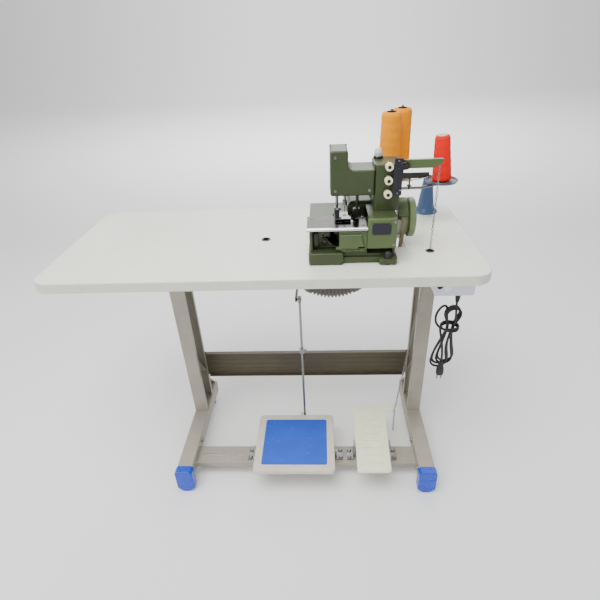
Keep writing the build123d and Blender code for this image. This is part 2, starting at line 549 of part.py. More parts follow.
# ================================================================ drive
def build_drive():
    plate = block(MOTOR_LEFT + 2, MOTOR_RIGHT + 8, MOTOR_Y - 60, MOTOR_Y + 80, UNDERSIDE - 8, UNDERSIDE, 14)
    web = block(MOTOR_LEFT + 22, MOTOR_RIGHT - 12, MOTOR_Y - 34, MOTOR_Y + 34, MOTOR_Z + 60, UNDERSIDE - 8)
    body_r, core_r = MOTOR_R + 2, MOTOR_R - MOTOR_SHELL
    saddle = web - rod_x(MOTOR_LEFT, MOTOR_RIGHT, MOTOR_Y, MOTOR_Z, body_r)
    bolts = [bolt_down(x, y, UNDERSIDE - 8 - BOLT_HEAD, 0.5).rotate(Axis((x, y, UNDERSIDE - 8 - BOLT_HEAD / 2),
                                                                       (1, 0, 0)), 180)
             for x, y in ((MOTOR_LEFT + 12, MOTOR_Y - 48), (MOTOR_LEFT + 12, MOTOR_Y + 66),
                          (MOTOR_RIGHT - 4, MOTOR_Y + 10))]
    save("motor_bracket", plate + saddle, *bolts)

    # Cooling fins whose tips follow a barrel, full in the middle and lower at both ends.
    middle, half = (MOTOR_LEFT + MOTOR_RIGHT) / 2, (MOTOR_RIGHT - MOTOR_LEFT) / 2
    pitch = (MOTOR_RIGHT - MOTOR_LEFT) / (MOTOR_FINS * 2 + 1)
    profile = [(MOTOR_LEFT, core_r)]
    for i in range(2 * MOTOR_FINS + 1):
        x0, x1 = MOTOR_LEFT + i * pitch, MOTOR_LEFT + (i + 1) * pitch
        tip = body_r - MOTOR_BARREL * (((x0 + x1) / 2 - middle) / half) ** 2 - (0 if i % 2 == 0 else MOTOR_GROOVE)
        profile += [(x0, tip), (x1, tip)]
    shell = turned_x(profile + [(MOTOR_RIGHT, core_r)], MOTOR_Y, MOTOR_Z)
    stator = rod_x(MOTOR_LEFT + 12, MOTOR_RIGHT - 12, MOTOR_Y, MOTOR_Z, core_r)
    stator -= rod_x(MOTOR_LEFT, MOTOR_RIGHT, MOTOR_Y, MOTOR_Z, 44)
    housing = shell + stator

    end_r = body_r - MOTOR_BARREL
    left_end = turned_x([(MOTOR_LEFT, SHAFT_R + 3), (MOTOR_LEFT, end_r), (MOTOR_LEFT - 10, end_r - 3),
                         (MOTOR_LEFT - 20, end_r - 12), (MOTOR_LEFT - 26, end_r - 28),
                         (MOTOR_LEFT - 28, SHAFT_R + 3)], MOTOR_Y, MOTOR_Z)
    pivot_z = TABLE_HEIGHT - LEVER_PIVOT_DROP
    left_end += rod_x(PITMAN_X - 18, MOTOR_LEFT - 10, LEVER_PIVOT_Y, pivot_z, 6)
    right_end = turned_x([(MOTOR_RIGHT, SHAFT_R + 3), (MOTOR_RIGHT, end_r), (MOTOR_RIGHT + 10, end_r - 3),
                          (MOTOR_RIGHT + 24, end_r - 12), (MOTOR_RIGHT + 30, 54), (MOTOR_RIGHT + 88, 48),
                          (MOTOR_RIGHT + 96, 40), (MOTOR_RIGHT + 96, SHAFT_R + 3)], MOTOR_Y, MOTOR_Z)
    save("motor_housing", housing, left_end, right_end)

    tip_z = pivot_z + LEVER_TIP_RISE
    x0, x1 = PITMAN_X - 14, PITMAN_X - 8
    arm = prism_x([(LEVER_PIVOT_Y, pivot_z - 12), (LEVER_PIVOT_Y, pivot_z + 12), (LEVER_TIP_Y, tip_z + 8),
                   (LEVER_TIP_Y, tip_z - 8)], x0, x1)
    arm += rod_x(x0, x1, LEVER_PIVOT_Y, pivot_z, 12) + rod_x(x0, x1, LEVER_TIP_Y, tip_z, 8)
    arm += rod_x(x1, x1 + 14, LEVER_TIP_Y, tip_z, PITMAN_R)
    save("speed_lever", arm - rod_x(x0 - 1, x1 + 1, LEVER_PIVOT_Y, pivot_z, 6 + RUN_CLEAR))

    rotor = rod_x(MOTOR_LEFT - 20, BELT_X, MOTOR_Y, MOTOR_Z, SHAFT_R)
    rotor += rod_x(MOTOR_LEFT + 18, MOTOR_RIGHT - 18, MOTOR_Y, MOTOR_Z, 42)
    save("motor_pulley", rotor + belt_pulley(BELT_X, MOTOR_PULLEY_R, MOTOR_Y, MOTOR_Z))
    save("drive_belt", belt_region(BELT_THICK / 2) - belt_region(-BELT_THICK / 2))


# ================================================================ switch box and cord
def build_switch():
    top = UNDERSIDE
    bottom = top - SWITCH_HEIGHT
    box = block(SWITCH_LEFT, SWITCH_RIGHT, SWITCH_FRONT, SWITCH_BACK, bottom, top - 4, 5, Axis.Y)
    box = fillet(box.faces().sort_by(Axis.Y)[0].edges(), 2)
    box += block(SWITCH_LEFT + 12, SWITCH_RIGHT - 12, SWITCH_FRONT + 12, SWITCH_BACK, top - 4, top)
    box -= block(SWITCH_LEFT + SWITCH_WALL, SWITCH_RIGHT - SWITCH_WALL, SWITCH_FRONT + SWITCH_WALL,
                 SWITCH_BACK - SWITCH_WALL, bottom + SWITCH_WALL, top - 4 - SWITCH_WALL)
    middle = (bottom + top - 4) / 2
    stop_x, start_x = SWITCH_LEFT + 11, SWITCH_LEFT + 33
    box -= rod_y(stop_x, SWITCH_FRONT - 1, SWITCH_FRONT + 4, middle, 7 + BUTTON_TRAVEL_GAP)
    gap = BUTTON_TRAVEL_GAP
    box -= block(start_x - 11 - gap, start_x + 11 + gap, SWITCH_FRONT - 1, SWITCH_FRONT + 4,
                 middle - 16 - gap, middle + 16 + gap, 10, Axis.Y)
    box -= rod_z(GLAND_X, GLAND_Y, bottom - 1, bottom + SWITCH_WALL + 1, CORD_R + 3)
    save("switch_box", box)
    save("stop_button", rod_y(stop_x, SWITCH_FRONT - 6, SWITCH_FRONT + 8, middle, 7))
    start = block(start_x - 11, start_x + 11, SWITCH_FRONT - 5, SWITCH_FRONT + 8, middle - 16, middle + 16,
                  9.5, Axis.Y)
    save("start_button", fillet(start.faces().sort_by(Axis.Y)[0].edges(), 2))
    gland = turned_z([(0, -12), (CORD_R + 1.5, -12), (CORD_R + 4, 0), (CORD_R + 7, -3), (CORD_R + 7, 0),
                      (CORD_R + 3, 0), (CORD_R + 3, 6), (0, 6)], GLAND_X, GLAND_Y, bottom)
    save("cord_gland", gland)

    # Route of the mains cord from the gland's mouth down to the top of its hank.
    route = [(542, -178, 652), (542, -178, 643.5), (540.9, -178.4, 635), (539, -178.6, 627)]
    radii = []
    for a, b, c in zip(route, route[1:], route[2:]):
        u, v = Vector(*b) - Vector(*a), Vector(*c) - Vector(*b)
        turn = math.radians(u.get_angle(v))
        radii.append(0.45 * min(u.length, v.length) / math.tan(turn / 2))
    print("cord radii", [round(r, 1) for r in radii])
    path = FilletPolyline(*route, radius=radii)
    start_plane = Plane(origin=Vector(*route[0]), z_dir=Vector(*route[1]) - Vector(*route[0]))
    tube = sweep(start_plane * Circle(CORD_R), path=path)
    print("cord tube", round(tube.volume), "section x length", round(math.pi * CORD_R**2 * path.length))
    save("power_cord", tube)

    # The hank hangs from the end of that run and leans a little; the plug lies on its front.
    end = Vector(*route[-1])
    hank = turned_z([(0, 0), (CORD_R + 1, 0), (16, -26), (20, -60), (14, -92), (20, -130), (25, -190),
                     (23, -222), (0, -226)], 0, 0, 0)
    hank = Pos(end.X, end.Y, end.Z) * Rot(0, HANK_LEAN, 0) * hank
    hank &= block(end.X - 80, end.X + 60, end.Y + HANK_FRONT, end.Y + HANK_BACK, 0, end.Z)
    save("cord_hank", hank)
    plug_x, plug_back = end.X + PLUG_X, end.Y + HANK_FRONT
    plug = block(plug_x - PLUG_HALF, plug_x + PLUG_HALF, plug_back - 2 * PLUG_HALF, plug_back,
                 end.Z + PLUG_BOTTOM, end.Z + PLUG_TOP, 6)
    plug = fillet(plug.faces().sort_by(Axis.Z)[0].edges(), 3)
    plug += [rod_z(plug_x + dx, plug_back - PLUG_HALF, end.Z + PLUG_BOTTOM - PIN_LENGTH, end.Z + PLUG_BOTTOM, 2.4)
             for dx in (-6, 6)]
    save("plug", plug)


# ================================================================ head: base, bed and covers
def build_bed():
    base_bottom, base_top = rise(FEET_HEIGHT), rise(FEET_HEIGHT + BASE_THICK)
    base = block(BED_LEFT - 3, BED_RIGHT + 2, BED_FRONT - 5, BED_BACK - 5, base_bottom, base_top, 10)
    left_block = block(BED_LEFT - 3, 227, -193, -112, base_bottom, rise(34), 7)
    left_block = fillet(left_block.edges().group_by(Axis.Z)[-1], 4)
    lug = block(318, 366, -200, -150, base_bottom, base_top, 10)
    base = base + left_block + lug
    save("head_base", base)
    feet = [rod_z(x, y, TABLE_HEIGHT, base_bottom, 13)
            for x, y in ((156, -172), (341, -182), (156, -12), (341, -12))]
    bumper = turned_z([(0, 0), (9.5, 0), (10, 4), (8, 14), (5, 17), (0, 17)], 341, -189, base_top)
    save("head_feet", *feet, bumper)

    floor = base_top
    deck = rise(PLATE_RISE - PLATE_THICK)
    shoulder = rise(SHOULDER_RISE)
    bed = block(BED_LEFT, BED_RIGHT, BED_FRONT, BED_BACK, floor, deck, 6)
    bed += block(SHOULDER_LEFT, BED_RIGHT, BED_FRONT, BED_BACK, deck - 10, shoulder, 6)
    hump = block(242, 350, HUMP_FRONT, BED_BACK - 4, deck - 4, rise(HUMP_RISE))
    hump = fillet(hump.edges().group_by(Axis.Z)[-1], 16)
    bed += hump - block(ARM_RIGHT, BED_RIGHT, HUMP_FRONT - 1, COLUMN_BLOCK_BACK, shoulder, rise(HUMP_RISE + 1))
    bed -= block(227.5, 320, -194, BED_FRONT + 1, floor - 1, deck)
    bed -= block(BED_LEFT - 10, 227.5, -194, -111.5, floor - 1, rise(34.3))
    w = BED_WALL
    bed -= block(BED_LEFT + w, 280, BED_FRONT - 1, BED_BACK - w, rise(36), deck - w)
    bed -= block(288, BED_RIGHT - w, BED_FRONT - 1, BED_BACK - w, floor + w, shoulder - w)
    bed -= block(252, 342, COLUMN_BLOCK_BACK + w, BED_BACK - w, deck - w - 1, rise(HUMP_RISE - w))
    bed -= block(202, 270, -152, -76, deck - w - 1, deck + 1, 3)
    bed -= rod_x(BED_LEFT + 20, BED_RIGHT + 5, SHAFT_Y, SHAFT_Z, MAIN_SHAFT_R + RUN_CLEAR)
    bed += rod_x(BED_RIGHT, BED_RIGHT + 10, SHAFT_Y, SHAFT_Z, 18) \
        - rod_x(BED_RIGHT - 1, BED_RIGHT + 11, SHAFT_Y, SHAFT_Z, MAIN_SHAFT_R + RUN_CLEAR)
    save("bed_casting", bed)

    shaft = rod_x(BED_LEFT + 22, WHEEL_LEFT, SHAFT_Y, SHAFT_Z, MAIN_SHAFT_R)
    for x, lift_y, lift_z, r in ((180, 0, 2, 12), (214, 2, 0, 13), (250, 0, -2, 12), (318, -2, 2, 15)):
        shaft += rod_x(x, x + 12, SHAFT_Y + lift_y, SHAFT_Z + lift_z, r)
    save("main_shaft", shaft)

    wheel = turned_x([(WHEEL_LEFT, MAIN_SHAFT_R - 2), (WHEEL_LEFT, 40), (WHEEL_LEFT + 3, 42),
                      (WHEEL_LEFT + 3, WHEEL_R - 1.5), (WHEEL_LEFT + 4.5, WHEEL_R), (WHEEL_RIGHT - 3, WHEEL_R),
                      (WHEEL_RIGHT, WHEEL_R - 3), (WHEEL_RIGHT, WHEEL_R - 9), (WHEEL_RIGHT - 6, WHEEL_R - 14),
                      (WHEEL_RIGHT - 8, 20), (WHEEL_RIGHT - 2, 17), (WHEEL_RIGHT - 2, 0), (WHEEL_LEFT, 0)],
                     SHAFT_Y, SHAFT_Z)
    wheel += belt_pulley(BELT_X, HEAD_PULLEY_R, SHAFT_Y, SHAFT_Z) - rod_x(BELT_X - 20, WHEEL_LEFT, SHAFT_Y,
                                                                        SHAFT_Z, MAIN_SHAFT_R)
    wheel += rod_x(BELT_X + PULLEY_HALF, WHEEL_LEFT, SHAFT_Y, SHAFT_Z, 38) \
        - rod_x(BELT_X, WHEEL_LEFT, SHAFT_Y, SHAFT_Z, MAIN_SHAFT_R)
    save("handwheel", wheel)


def build_plates():
    top, under = rise(PLATE_RISE), rise(PLATE_RISE - PLATE_THICK)
    plate = block(PLATE_LEFT, PLATE_RIGHT, PLATE_FRONT, PLATE_BACK, under, top)
    skirt = block(PLATE_LEFT, PLATE_RIGHT, PLATE_FRONT, PLATE_FRONT + 6, under - 2, top)
    plate += skirt
    plate = fillet(plate.edges().filter_by(Axis.X).sort_by_distance((200, PLATE_FRONT, top))[0], 4.5)
    plate += block(PLATE_LEFT, PLATE_LEFT + 4, PLATE_FRONT + 8, PLATE_BACK - 18, under - 7, under)
    needle_hole = block(204.7, 265.3, -150.3, PLATE_BACK + 1, under - 1, top + 1)
    save("cloth_plate", plate - needle_hole)

    stitch = block(205, 265, -150, -78, under, top, 2)
    stitch -= slot_plan(NEEDLE_X - 4, NEEDLE_X + 4, NEEDLE_Y, 2, under - 1, top + 1)
    for x in (216.5, 243.5):
        stitch -= block(x - 3.4, x + 3.4, -134, -88, under - 1, top + 1)
    stitch -= block(KNIFE_CUT_X - 4.6, KNIFE_CUT_X + 4.5, -136, -102, under - 1, top + 1)
    knife = block(KNIFE_CUT_X - 2.7, KNIFE_CUT_X - 0.1, KNIFE_Y - 10, KNIFE_Y + 8, top - 14, top - 0.5)
    knife += block(KNIFE_CUT_X - 4.2, KNIFE_CUT_X - 2.7, KNIFE_Y - 34, KNIFE_Y + 2, top - 12, top - 4)
    save("needle_plate", stitch, knife)

    dog = block(213.9, 219.1, -128, -94, top - 12, top - 1) + block(240.9, 246.1, -128, -94, top - 12, top - 1)
    dog += block(213.9, 246.1, -95.5, -86, top - 14, top - 7)
    for x in (216.5, 243.5):
        for i in range(8):
            dog += prism_y([(x - 2.6, top - 1.2), (x + 2.6, top - 1.2), (x, top + 0.2)],
                           -127 + i * 4, -125 + i * 4)
    save("feed_dog", dog)


def belt_guard():
    """Curved sheet guard over the top of the belt pulley, tied to the bed."""
    guard_in = HEAD_PULLEY_R + PULLEY_LIP + 3
    guard = rod_x(379, 402.5, SHAFT_Y, SHAFT_Z, guard_in + 3) - rod_x(378, 403, SHAFT_Y, SHAFT_Z, guard_in)
    guard &= block(370, 410, SHAFT_Y - 48, SHAFT_Y + 48, SHAFT_Z + 20, SHAFT_Z + 60)
    side = rod_x(377, 380, SHAFT_Y, SHAFT_Z, guard_in + 3) - rod_x(376, 381, SHAFT_Y, SHAFT_Z, 22)
    side &= block(370, 410, SHAFT_Y - 48, SHAFT_Y + 48, SHAFT_Z + 20, SHAFT_Z + 60)
    tie = block(BED_RIGHT, 378, SHAFT_Y - 12, SHAFT_Y + 12, SHAFT_Z + 32, SHAFT_Z + 40)
    return guard + side + tie


def build_covers():
    front = BED_FRONT
    cover = block(SHOULDER_LEFT - 3, BED_RIGHT - 1, front - 12, front, rise(44), rise(SHOULDER_RISE), 5, Axis.Y)
    cover = fillet(cover.faces().sort_by(Axis.Y)[0].edges(), 3)
    cover -= block(SHOULDER_LEFT + 1, BED_RIGHT - 5, front - 8, front + 1, rise(48), rise(SHOULDER_RISE - 4))
    plate_x0, plate_x1, plate_z0, plate_z1 = 298, 346, rise(83), rise(114)
    save("name_plate", block(plate_x0, plate_x1, front - 13, front - 12, plate_z0, plate_z1, 2, Axis.Y))

    door_left, door_right = 215.0, SHOULDER_LEFT - 3.6
    door_bottom, door_top = rise(42), rise(PLATE_RISE - PLATE_THICK - 7)
    door = block(door_left, door_right, front - 8, front - 4, door_bottom, door_top, 3, Axis.Y)
    bulge = prism_y([(door_left + 2, door_bottom + 3), (door_left + 2, door_top - 8),
                     (door_right - 14, door_top - 8), (door_right - 4, door_bottom + 3)], front - 13, front - 8)
    bulge = chamfer(bulge.faces().sort_by(Axis.Y)[0].edges(), 3)
    door += bulge
    door -= block(door_right - 22, door_right - 4, front - 14, front - 3, door_bottom + 4, door_bottom + 9)
    for x0 in (door_left + 6, door_right - 18):
        door += rod_x(x0, x0 + 12, front - 6, door_bottom - 3, 3.4)
        door += block(x0, x0 + 12, front - 8, front - 4, door_bottom - 3, door_bottom + 2)
    hinge_bore = rod_x(door_left, door_right, front - 6, door_bottom - 3, 1.5 + RUN_CLEAR)
    door -= hinge_bore
    door += block(door_left - 8, door_left + 4, front - 10.5, front - 8, door_bottom + 2, door_bottom + 9)
    save("looper_door", door)
    pin = rod_x(door_left + 1, door_right - 2, front - 6, door_bottom - 3, 1.5)
    for x0 in (door_left + 20, door_right - 34):
        pin += block(x0, x0 + 12, front - 8, front, door_bottom - 6, door_bottom - 1.5)

    sheet0, sheet1 = front + 24, front + 28
    knob_x, knob_z = 183.0, rise(80)
    guard = block(BED_LEFT + BED_WALL, 170, sheet0, sheet1, rise(36), rise(90), 2, Axis.Y)
    guard += prism_y([(170, rise(36)), (206, rise(36)), (170, rise(72))], sheet0, sheet1)
    guard += rod_y(knob_x, sheet0, sheet1, knob_z, 10) + block(168, knob_x, sheet0, sheet1, knob_z - 8, knob_z + 8)
    guard -= rod_y(knob_x, sheet0 - 1, sheet1 + 1, knob_z, 4 + RUN_CLEAR)
    save("head_covers", cover, pin, guard, belt_guard())
    knob = rod_y(knob_x, front + 8, front + 20, knob_z, 6)
    for i in range(4):
        angle = math.radians(45 + 90 * i)
        knob += rod_y(knob_x + 6 * math.cos(angle), front + 8, front + 16, knob_z + 6 * math.sin(angle), 3.6)
    save("stitch_knob", knob + rod_y(knob_x, front + 20, sheet1 + 6, knob_z, 4))


# ================================================================ head: arm and needle works
def arm_outline(inset):
    """L-shaped front view of the arm and its tower, drawn inside by the inset, with a concave corner."""
    left, right = ARM_LEFT + inset, ARM_RIGHT - inset
    low, top, crown = rise(ARM_BOTTOM) + inset, rise(ARM_TOP) - inset, rise(TOWER_TOP) - inset
    step = TOWER_RIGHT - inset
    sweep_r = 14.0 + inset
    lines = [Line((left, low), (right, low)), Line((right, low), (right, top)),
             Line((right, top), (step + sweep_r, top)),
             RadiusArc((step + sweep_r, top), (step, top + sweep_r), sweep_r),
             Line((step, top + sweep_r), (step, crown)), Line((step, crown), (left, crown)),
             Line((left, crown), (left, low))]
    return make_face(Wire(lines))


def arm_body(inset, y0, y1):
    plane = Plane(origin=(0, y0, 0), x_dir=(1, 0, 0), z_dir=(0, -1, 0))
    return extrude(plane * arm_outline(inset), amount=-(y1 - y0))


def build_arm():
    shell = arm_body(0, ARM_FRONT, ARM_BACK)
    uprights = shell.edges().filter_by(Axis.Y)
    shell = fillet(uprights.sort_by(Axis.Z)[-2:] + uprights.sort_by(Axis.X)[:1], 7)
    shell = fillet(shell.faces().sort_by(Axis.Y)[0].edges(), 5)
    cavity = arm_body(ARM_WALL, ARM_FRONT + ARM_WALL, ARM_BACK + 1)
    shell -= cavity
    bores = ((NEEDLE_X, NEEDLE_Y, NEEDLE_BAR_R), (PRESSER_X, PRESSER_Y, PRESSER_BAR_R),
             (KNIFE_X, KNIFE_Y, KNIFE_BAR_R))
    for x, y, r in bores:
        shell -= rod_z(x, y, rise(ARM_BOTTOM - 1), rise(ARM_BOTTOM + ARM_WALL + 1), r + RUN_CLEAR)
    save("arm_housing", shell, arm_body(0, ARM_BACK, ARM_BACK + 4))

    low, high = rise(SHOULDER_RISE), rise(COLUMN_BLOCK_TOP)
    column = block(ARM_RIGHT, COLUMN_BLOCK_RIGHT, COLUMN_BLOCK_FRONT, COLUMN_BLOCK_BACK, low, high, 9)
    column = fillet(column.edges().group_by(Axis.Z)[-1], 4)
    column -= block(ARM_RIGHT + 9, COLUMN_BLOCK_RIGHT - 9, COLUMN_BLOCK_FRONT + 9, COLUMN_BLOCK_BACK + 1,
                    low + 14, high - 9)
    for z in TENSION_RISES:
        column -= rod_y(TENSION_X, COLUMN_BLOCK_FRONT - 1, COLUMN_BLOCK_FRONT + 10, rise(z), TENSION_POST_R)
    save("column_casting", column - block(0, 600, COLUMN_BLOCK_BACK - 0.01, 100, 0, low))

    dome = turned_z([(0, 0), (13, 0), (13, 5), (10.5, 7), (10.5, 15), (8, 24), (3.5, 27), (0, 27.4)],
                    320, -62, high)
    save("oil_dome", dome)


def build_needle_works():
    plate_top = rise(PLATE_RISE)
    needle = rod_z(NEEDLE_X, NEEDLE_Y, plate_top + 36, rise(ARM_BOTTOM + 56), NEEDLE_BAR_R)
    needle += rod_z(NEEDLE_X, NEEDLE_Y, plate_top + 34, plate_top + 46, 6)
    needle += rod_y(NEEDLE_X, NEEDLE_Y - 10, NEEDLE_Y, plate_top + 40, 2.2)
    needle += rod_z(NEEDLE_X, NEEDLE_Y, plate_top + 16, plate_top + 34, 0.9)
    needle += turned_z([(0, 0), (0.9, 6), (0, 6)], NEEDLE_X, NEEDLE_Y, plate_top + 10)
    save("needle_bar", needle)

    bar = rod_z(PRESSER_X, PRESSER_Y, plate_top + 10, rise(ARM_BOTTOM + 66), PRESSER_BAR_R)
    shank = block(PRESSER_X - 7, PRESSER_X + 7, PRESSER_Y - 7, PRESSER_Y + 7, plate_top + 4, plate_top + 24, 3)
    sole = block(205.5, 247.5, -142, -86, plate_top + 1, plate_top + 4.6, 4)
    sole -= slot_plan(NEEDLE_X - 6, NEEDLE_X + 6, NEEDLE_Y, 4, plate_top, plate_top + 6)
    sole = sole + shank + bar
    sole += prism_x([(-142, plate_top + 1), (-142, plate_top + 4.6), (-150, plate_top + 9),
                     (-151, plate_top + 7)], 206, 247)
    sole += rod_x(PRESSER_X + 6, PRESSER_X + 12, PRESSER_Y, plate_top + 17, 2.6)
    save("presser_foot", sole)

    knife = rod_z(KNIFE_X, KNIFE_Y, plate_top + 12, rise(ARM_BOTTOM + 50), KNIFE_BAR_R)
    knife += block(KNIFE_CUT_X + 2.3, KNIFE_X + 6, KNIFE_Y - 7, KNIFE_Y + 7, plate_top + 8, plate_top + 26, 1)
    knife += prism_x([(KNIFE_Y - 9, plate_top + 2), (KNIFE_Y + 9, plate_top + 5), (KNIFE_Y + 9, plate_top + 24),
                      (KNIFE_Y - 9, plate_top + 24)], KNIFE_CUT_X + 0.3, KNIFE_CUT_X + 2.3)
    save("upper_knife", knife)
    for node, x, y, tip_x, tip_z in (("lower_looper", 188, -101, 240, plate_top - 19),
                                     ("upper_looper", 271, -123, 238, plate_top - 17)):
        hub_z = rise(54)
        side = 1 if tip_x > x else -1
        arm = prism_y([(x - side * 5, hub_z), (x + side * 5, hub_z), (x + side * 14, tip_z - 6), (tip_x, tip_z),
                       (x + side * 6, tip_z + 1), (x - side * 5, tip_z - 14)], y - 2, y + 2)
        save(node, arm + rod_y(x, y - 8, y + 8, hub_z, 8))


# ================================================================ tensions and lifter
def build_tensions():
    face = COLUMN_BLOCK_FRONT
    posts, springs = [], []
    for index, height in enumerate(TENSION_RISES):
        z = rise(height)
        posts.append(rod_y(TENSION_X, face - 17, face + 10, z, TENSION_POST_R)
                     + [rod_y(TENSION_X, face - d - 1.2, face - d, z, 10.5) for d in (1.0, 2.8)])
        rings = [Pos(TENSION_X, face - 4.9 - i * 1.1, z) * Rot(90, 0, 0) * Torus(5.2 - 0.3 * i, 0.5)
                 for i in range(2)]
        springs.extend(rings)
        knob = rod_y(TENSION_X, face - 6.7 - KNOB_DEPTH, face - 6.7, z, KNOB_R)
        knob = fillet(knob.edges().group_by(Axis.Y)[0], 2)
        knob -= rod_y(TENSION_X, face - 30, face, z, TENSION_POST_R + RUN_CLEAR)
        for k in range(12):
            angle = math.radians(30 * k)
            knob -= rod_y(TENSION_X + (KNOB_R + 0.7) * math.cos(angle), face - 5 - KNOB_DEPTH, face,
                          z + (KNOB_R + 0.7) * math.sin(angle), 1.5)
        save(f"tension_knob_{index + 1}", knob)
    save("tension_posts", *posts, *springs)

    plate_x0, plate_x1 = 349.8, 371.0
    guide = block(plate_x0, plate_x1, face - 20, face - 17.5, rise(170), rise(262), 3, Axis.Y)
    for z in TENSION_RISES:
        guide -= rod_y((plate_x0 + plate_x1) / 2, face - 21, face - 17, rise(z - 3), 2)
        guide -= rod_y(plate_x1 - 4, face - 21, face - 17, rise(z + 11), 1.5)
    for z in (186, 224):
        guide += rod_y((plate_x0 + plate_x1) / 2, face - 17.5, face, rise(z), 3.5)
    save("thread_guide_plate", guide)

    pivot_z = rise(LEVER_RISE)
    y = CHAIN_Y
    bracket = block(COLUMN_BLOCK_RIGHT, COLUMN_BLOCK_RIGHT + 4, y - 14, y + 14, pivot_z - 24, pivot_z + 2)
    for y0 in (y - 12, y + 8):
        bracket += block(COLUMN_BLOCK_RIGHT, LEVER_PIVOT_X, y0, y0 + 4, pivot_z - 9, pivot_z + 9)
        bracket += rod_y(LEVER_PIVOT_X, y0, y0 + 4, pivot_z, 9)
    bracket += rod_y(LEVER_PIVOT_X, y - 14, y + 14, pivot_z, 3)
    bracket += block(COLUMN_BLOCK_RIGHT + 4, LEVER_PIVOT_X + 16, y - 5, y + 5, pivot_z - 40, pivot_z - 36)
    bracket += block(COLUMN_BLOCK_RIGHT, COLUMN_BLOCK_RIGHT + 4, y - 5, y + 5, pivot_z - 40, pivot_z - 20)
    bracket += block(COLUMN_BLOCK_RIGHT + 1, LEVER_PIVOT_X + 57, y - 12, y - 8.5, pivot_z - 31, pivot_z - 17)
    bracket += rod_z(LEVER_PIVOT_X + 12, y, pivot_z - 62, pivot_z - 20, 2)
    bracket += rod_z(LEVER_PIVOT_X + 12, y, pivot_z - 54, pivot_z - 51, 6)
    save("lever_bracket", bracket)

    half = 5.0
    lever = block(LEVER_PIVOT_X - 2, LEVER_TIP_X, y - half, y + half, pivot_z - 8, pivot_z + 13)
    lever += rod_y(LEVER_PIVOT_X, y - half, y + half, pivot_z, 6.5)
    lever -= block(LEVER_PIVOT_X + 12, LEVER_TIP_X + 1, y - half + 2, y + half - 2, pivot_z - 9, pivot_z + 11)
    lever -= prism_y([(LEVER_TIP_X - 26, pivot_z - 9), (LEVER_TIP_X + 1, pivot_z - 9), (LEVER_TIP_X + 1, pivot_z + 3)],
                     y - half - 1, y + half + 1)
    lever += rod_y(CHAIN_X, y - half, y + half, pivot_z + HOOK_RISE, HOOK_PIN_R)
    save("lift_lever", lever - rod_y(LEVER_PIVOT_X, y - half - 1, y + half + 1, pivot_z, 3 + RUN_CLEAR))


# ================================================================ thread supply
def thread_cone(base_r, top_r, height, bore_r):
    """Wound cone with its core tube standing proud at both ends; the bore narrows upwards."""
    outer = turned_z([(bore_r, 0), (base_r, 0), (base_r + 0.8, 3), (base_r - 0.4, 6),
                      (top_r + 0.6, height - 6), (top_r - 2, height - 2), (bore_r * 0.75 + 2, height - 2),
                      (bore_r * 0.75 + 2, height), (bore_r * 0.75, height)], 0, 0, 0)
    return outer


def build_thread_supply():
    seat_z = rise(SEAT_RISE)
    pin_top = CONE_HEIGHT + 6
    (x1, y1), (x2, y2) = ORANGE_SEATS
    foot = (318.0, -22.0)
    base_z = rise(HUMP_RISE)
    low, high = seat_z - 10, seat_z - DISC_THICK
    strip = rod_z(foot[0], foot[1], base_z, high, 8) + rod_z(foot[0], foot[1], base_z, base_z + 5, 14)
    for (ax, ay), (bx, by) in ((foot, (x1, y1)), ((x1, y1), (x2, y2))):
        length = math.hypot(bx - ax, by - ay)
        bar = Pos((ax + bx) / 2, (ay + by) / 2, (low + high) / 2) * Rot(0, 0, math.degrees(math.atan2(by - ay, bx - ax)))
        strip += bar * Box(length, 22, high - low)
        strip += rod_z(bx, by, low, high, 14)
    tray_z = rise(RED_RISE)
    arm_z = tray_z - 9
    knee = (foot[0] + 0.7 * (RED_SEAT[0] - foot[0]), foot[1] + 0.7 * (RED_SEAT[1] - foot[1]), arm_z)
    strip += rod_between((foot[0], foot[1], seat_z - 18), knee, 4)
    strip += rod_between(knee, (RED_SEAT[0], RED_SEAT[1], arm_z), 4)
    strip += [Pos(*knee) * Sphere(5), Pos(RED_SEAT[0], RED_SEAT[1], arm_z) * Sphere(5)]
    for x, y in ORANGE_SEATS:
        strip += rod_z(x, y, high - 1, seat_z + pin_top, PIN_R)
    strip += rod_z(RED_SEAT[0], RED_SEAT[1], arm_z, tray_z + 60, PIN_R)
    save("spool_stand", strip)

    discs = []
    for x, y in ORANGE_SEATS:
        disc = rod_z(x, y, seat_z - DISC_THICK, seat_z, CONE_BASE_R + 2)
        discs.append(disc - rod_z(x, y, seat_z - 10, seat_z + 10, PIN_R))
    tray = turned_z([(PIN_R, -5), (TRAY_R - 14, -5), (TRAY_R - 3, -3), (TRAY_R, 3), (TRAY_R - 2, 3),
                     (TRAY_R - 6, -1), (TRAY_R - 16, -3), (TRAY_R - 18, 0), (PIN_R, 0)],
                    RED_SEAT[0], RED_SEAT[1], tray_z)
    save("spool_discs", *discs, tray)

    save("cones_orange", *[Pos(x, y, seat_z) * thread_cone(CONE_BASE_R, CONE_TOP_R, CONE_HEIGHT, 15)
                           for x, y in ORANGE_SEATS])
    red = thread_cone(28, 21, RED_HEIGHT, 15)
    edge = -28.8
    leaning = Pos(RED_SEAT[0] + edge, RED_SEAT[1], tray_z + 0.3) * Rot(0, -RED_LEAN, 0) * Pos(-edge, 0, 0) * red
    save("cone_red", leaning)
    blue = turned_z([(20, 0), (39, 0), (39, 2.5), (33, 6), (27, 16), (14, BLUE_HEIGHT - 4), (13, BLUE_HEIGHT),
                     (9, BLUE_HEIGHT), (17, 8)], BLUE_SEAT[0], BLUE_SEAT[1], TABLE_HEIGHT)
    save("cone_blue", blue)


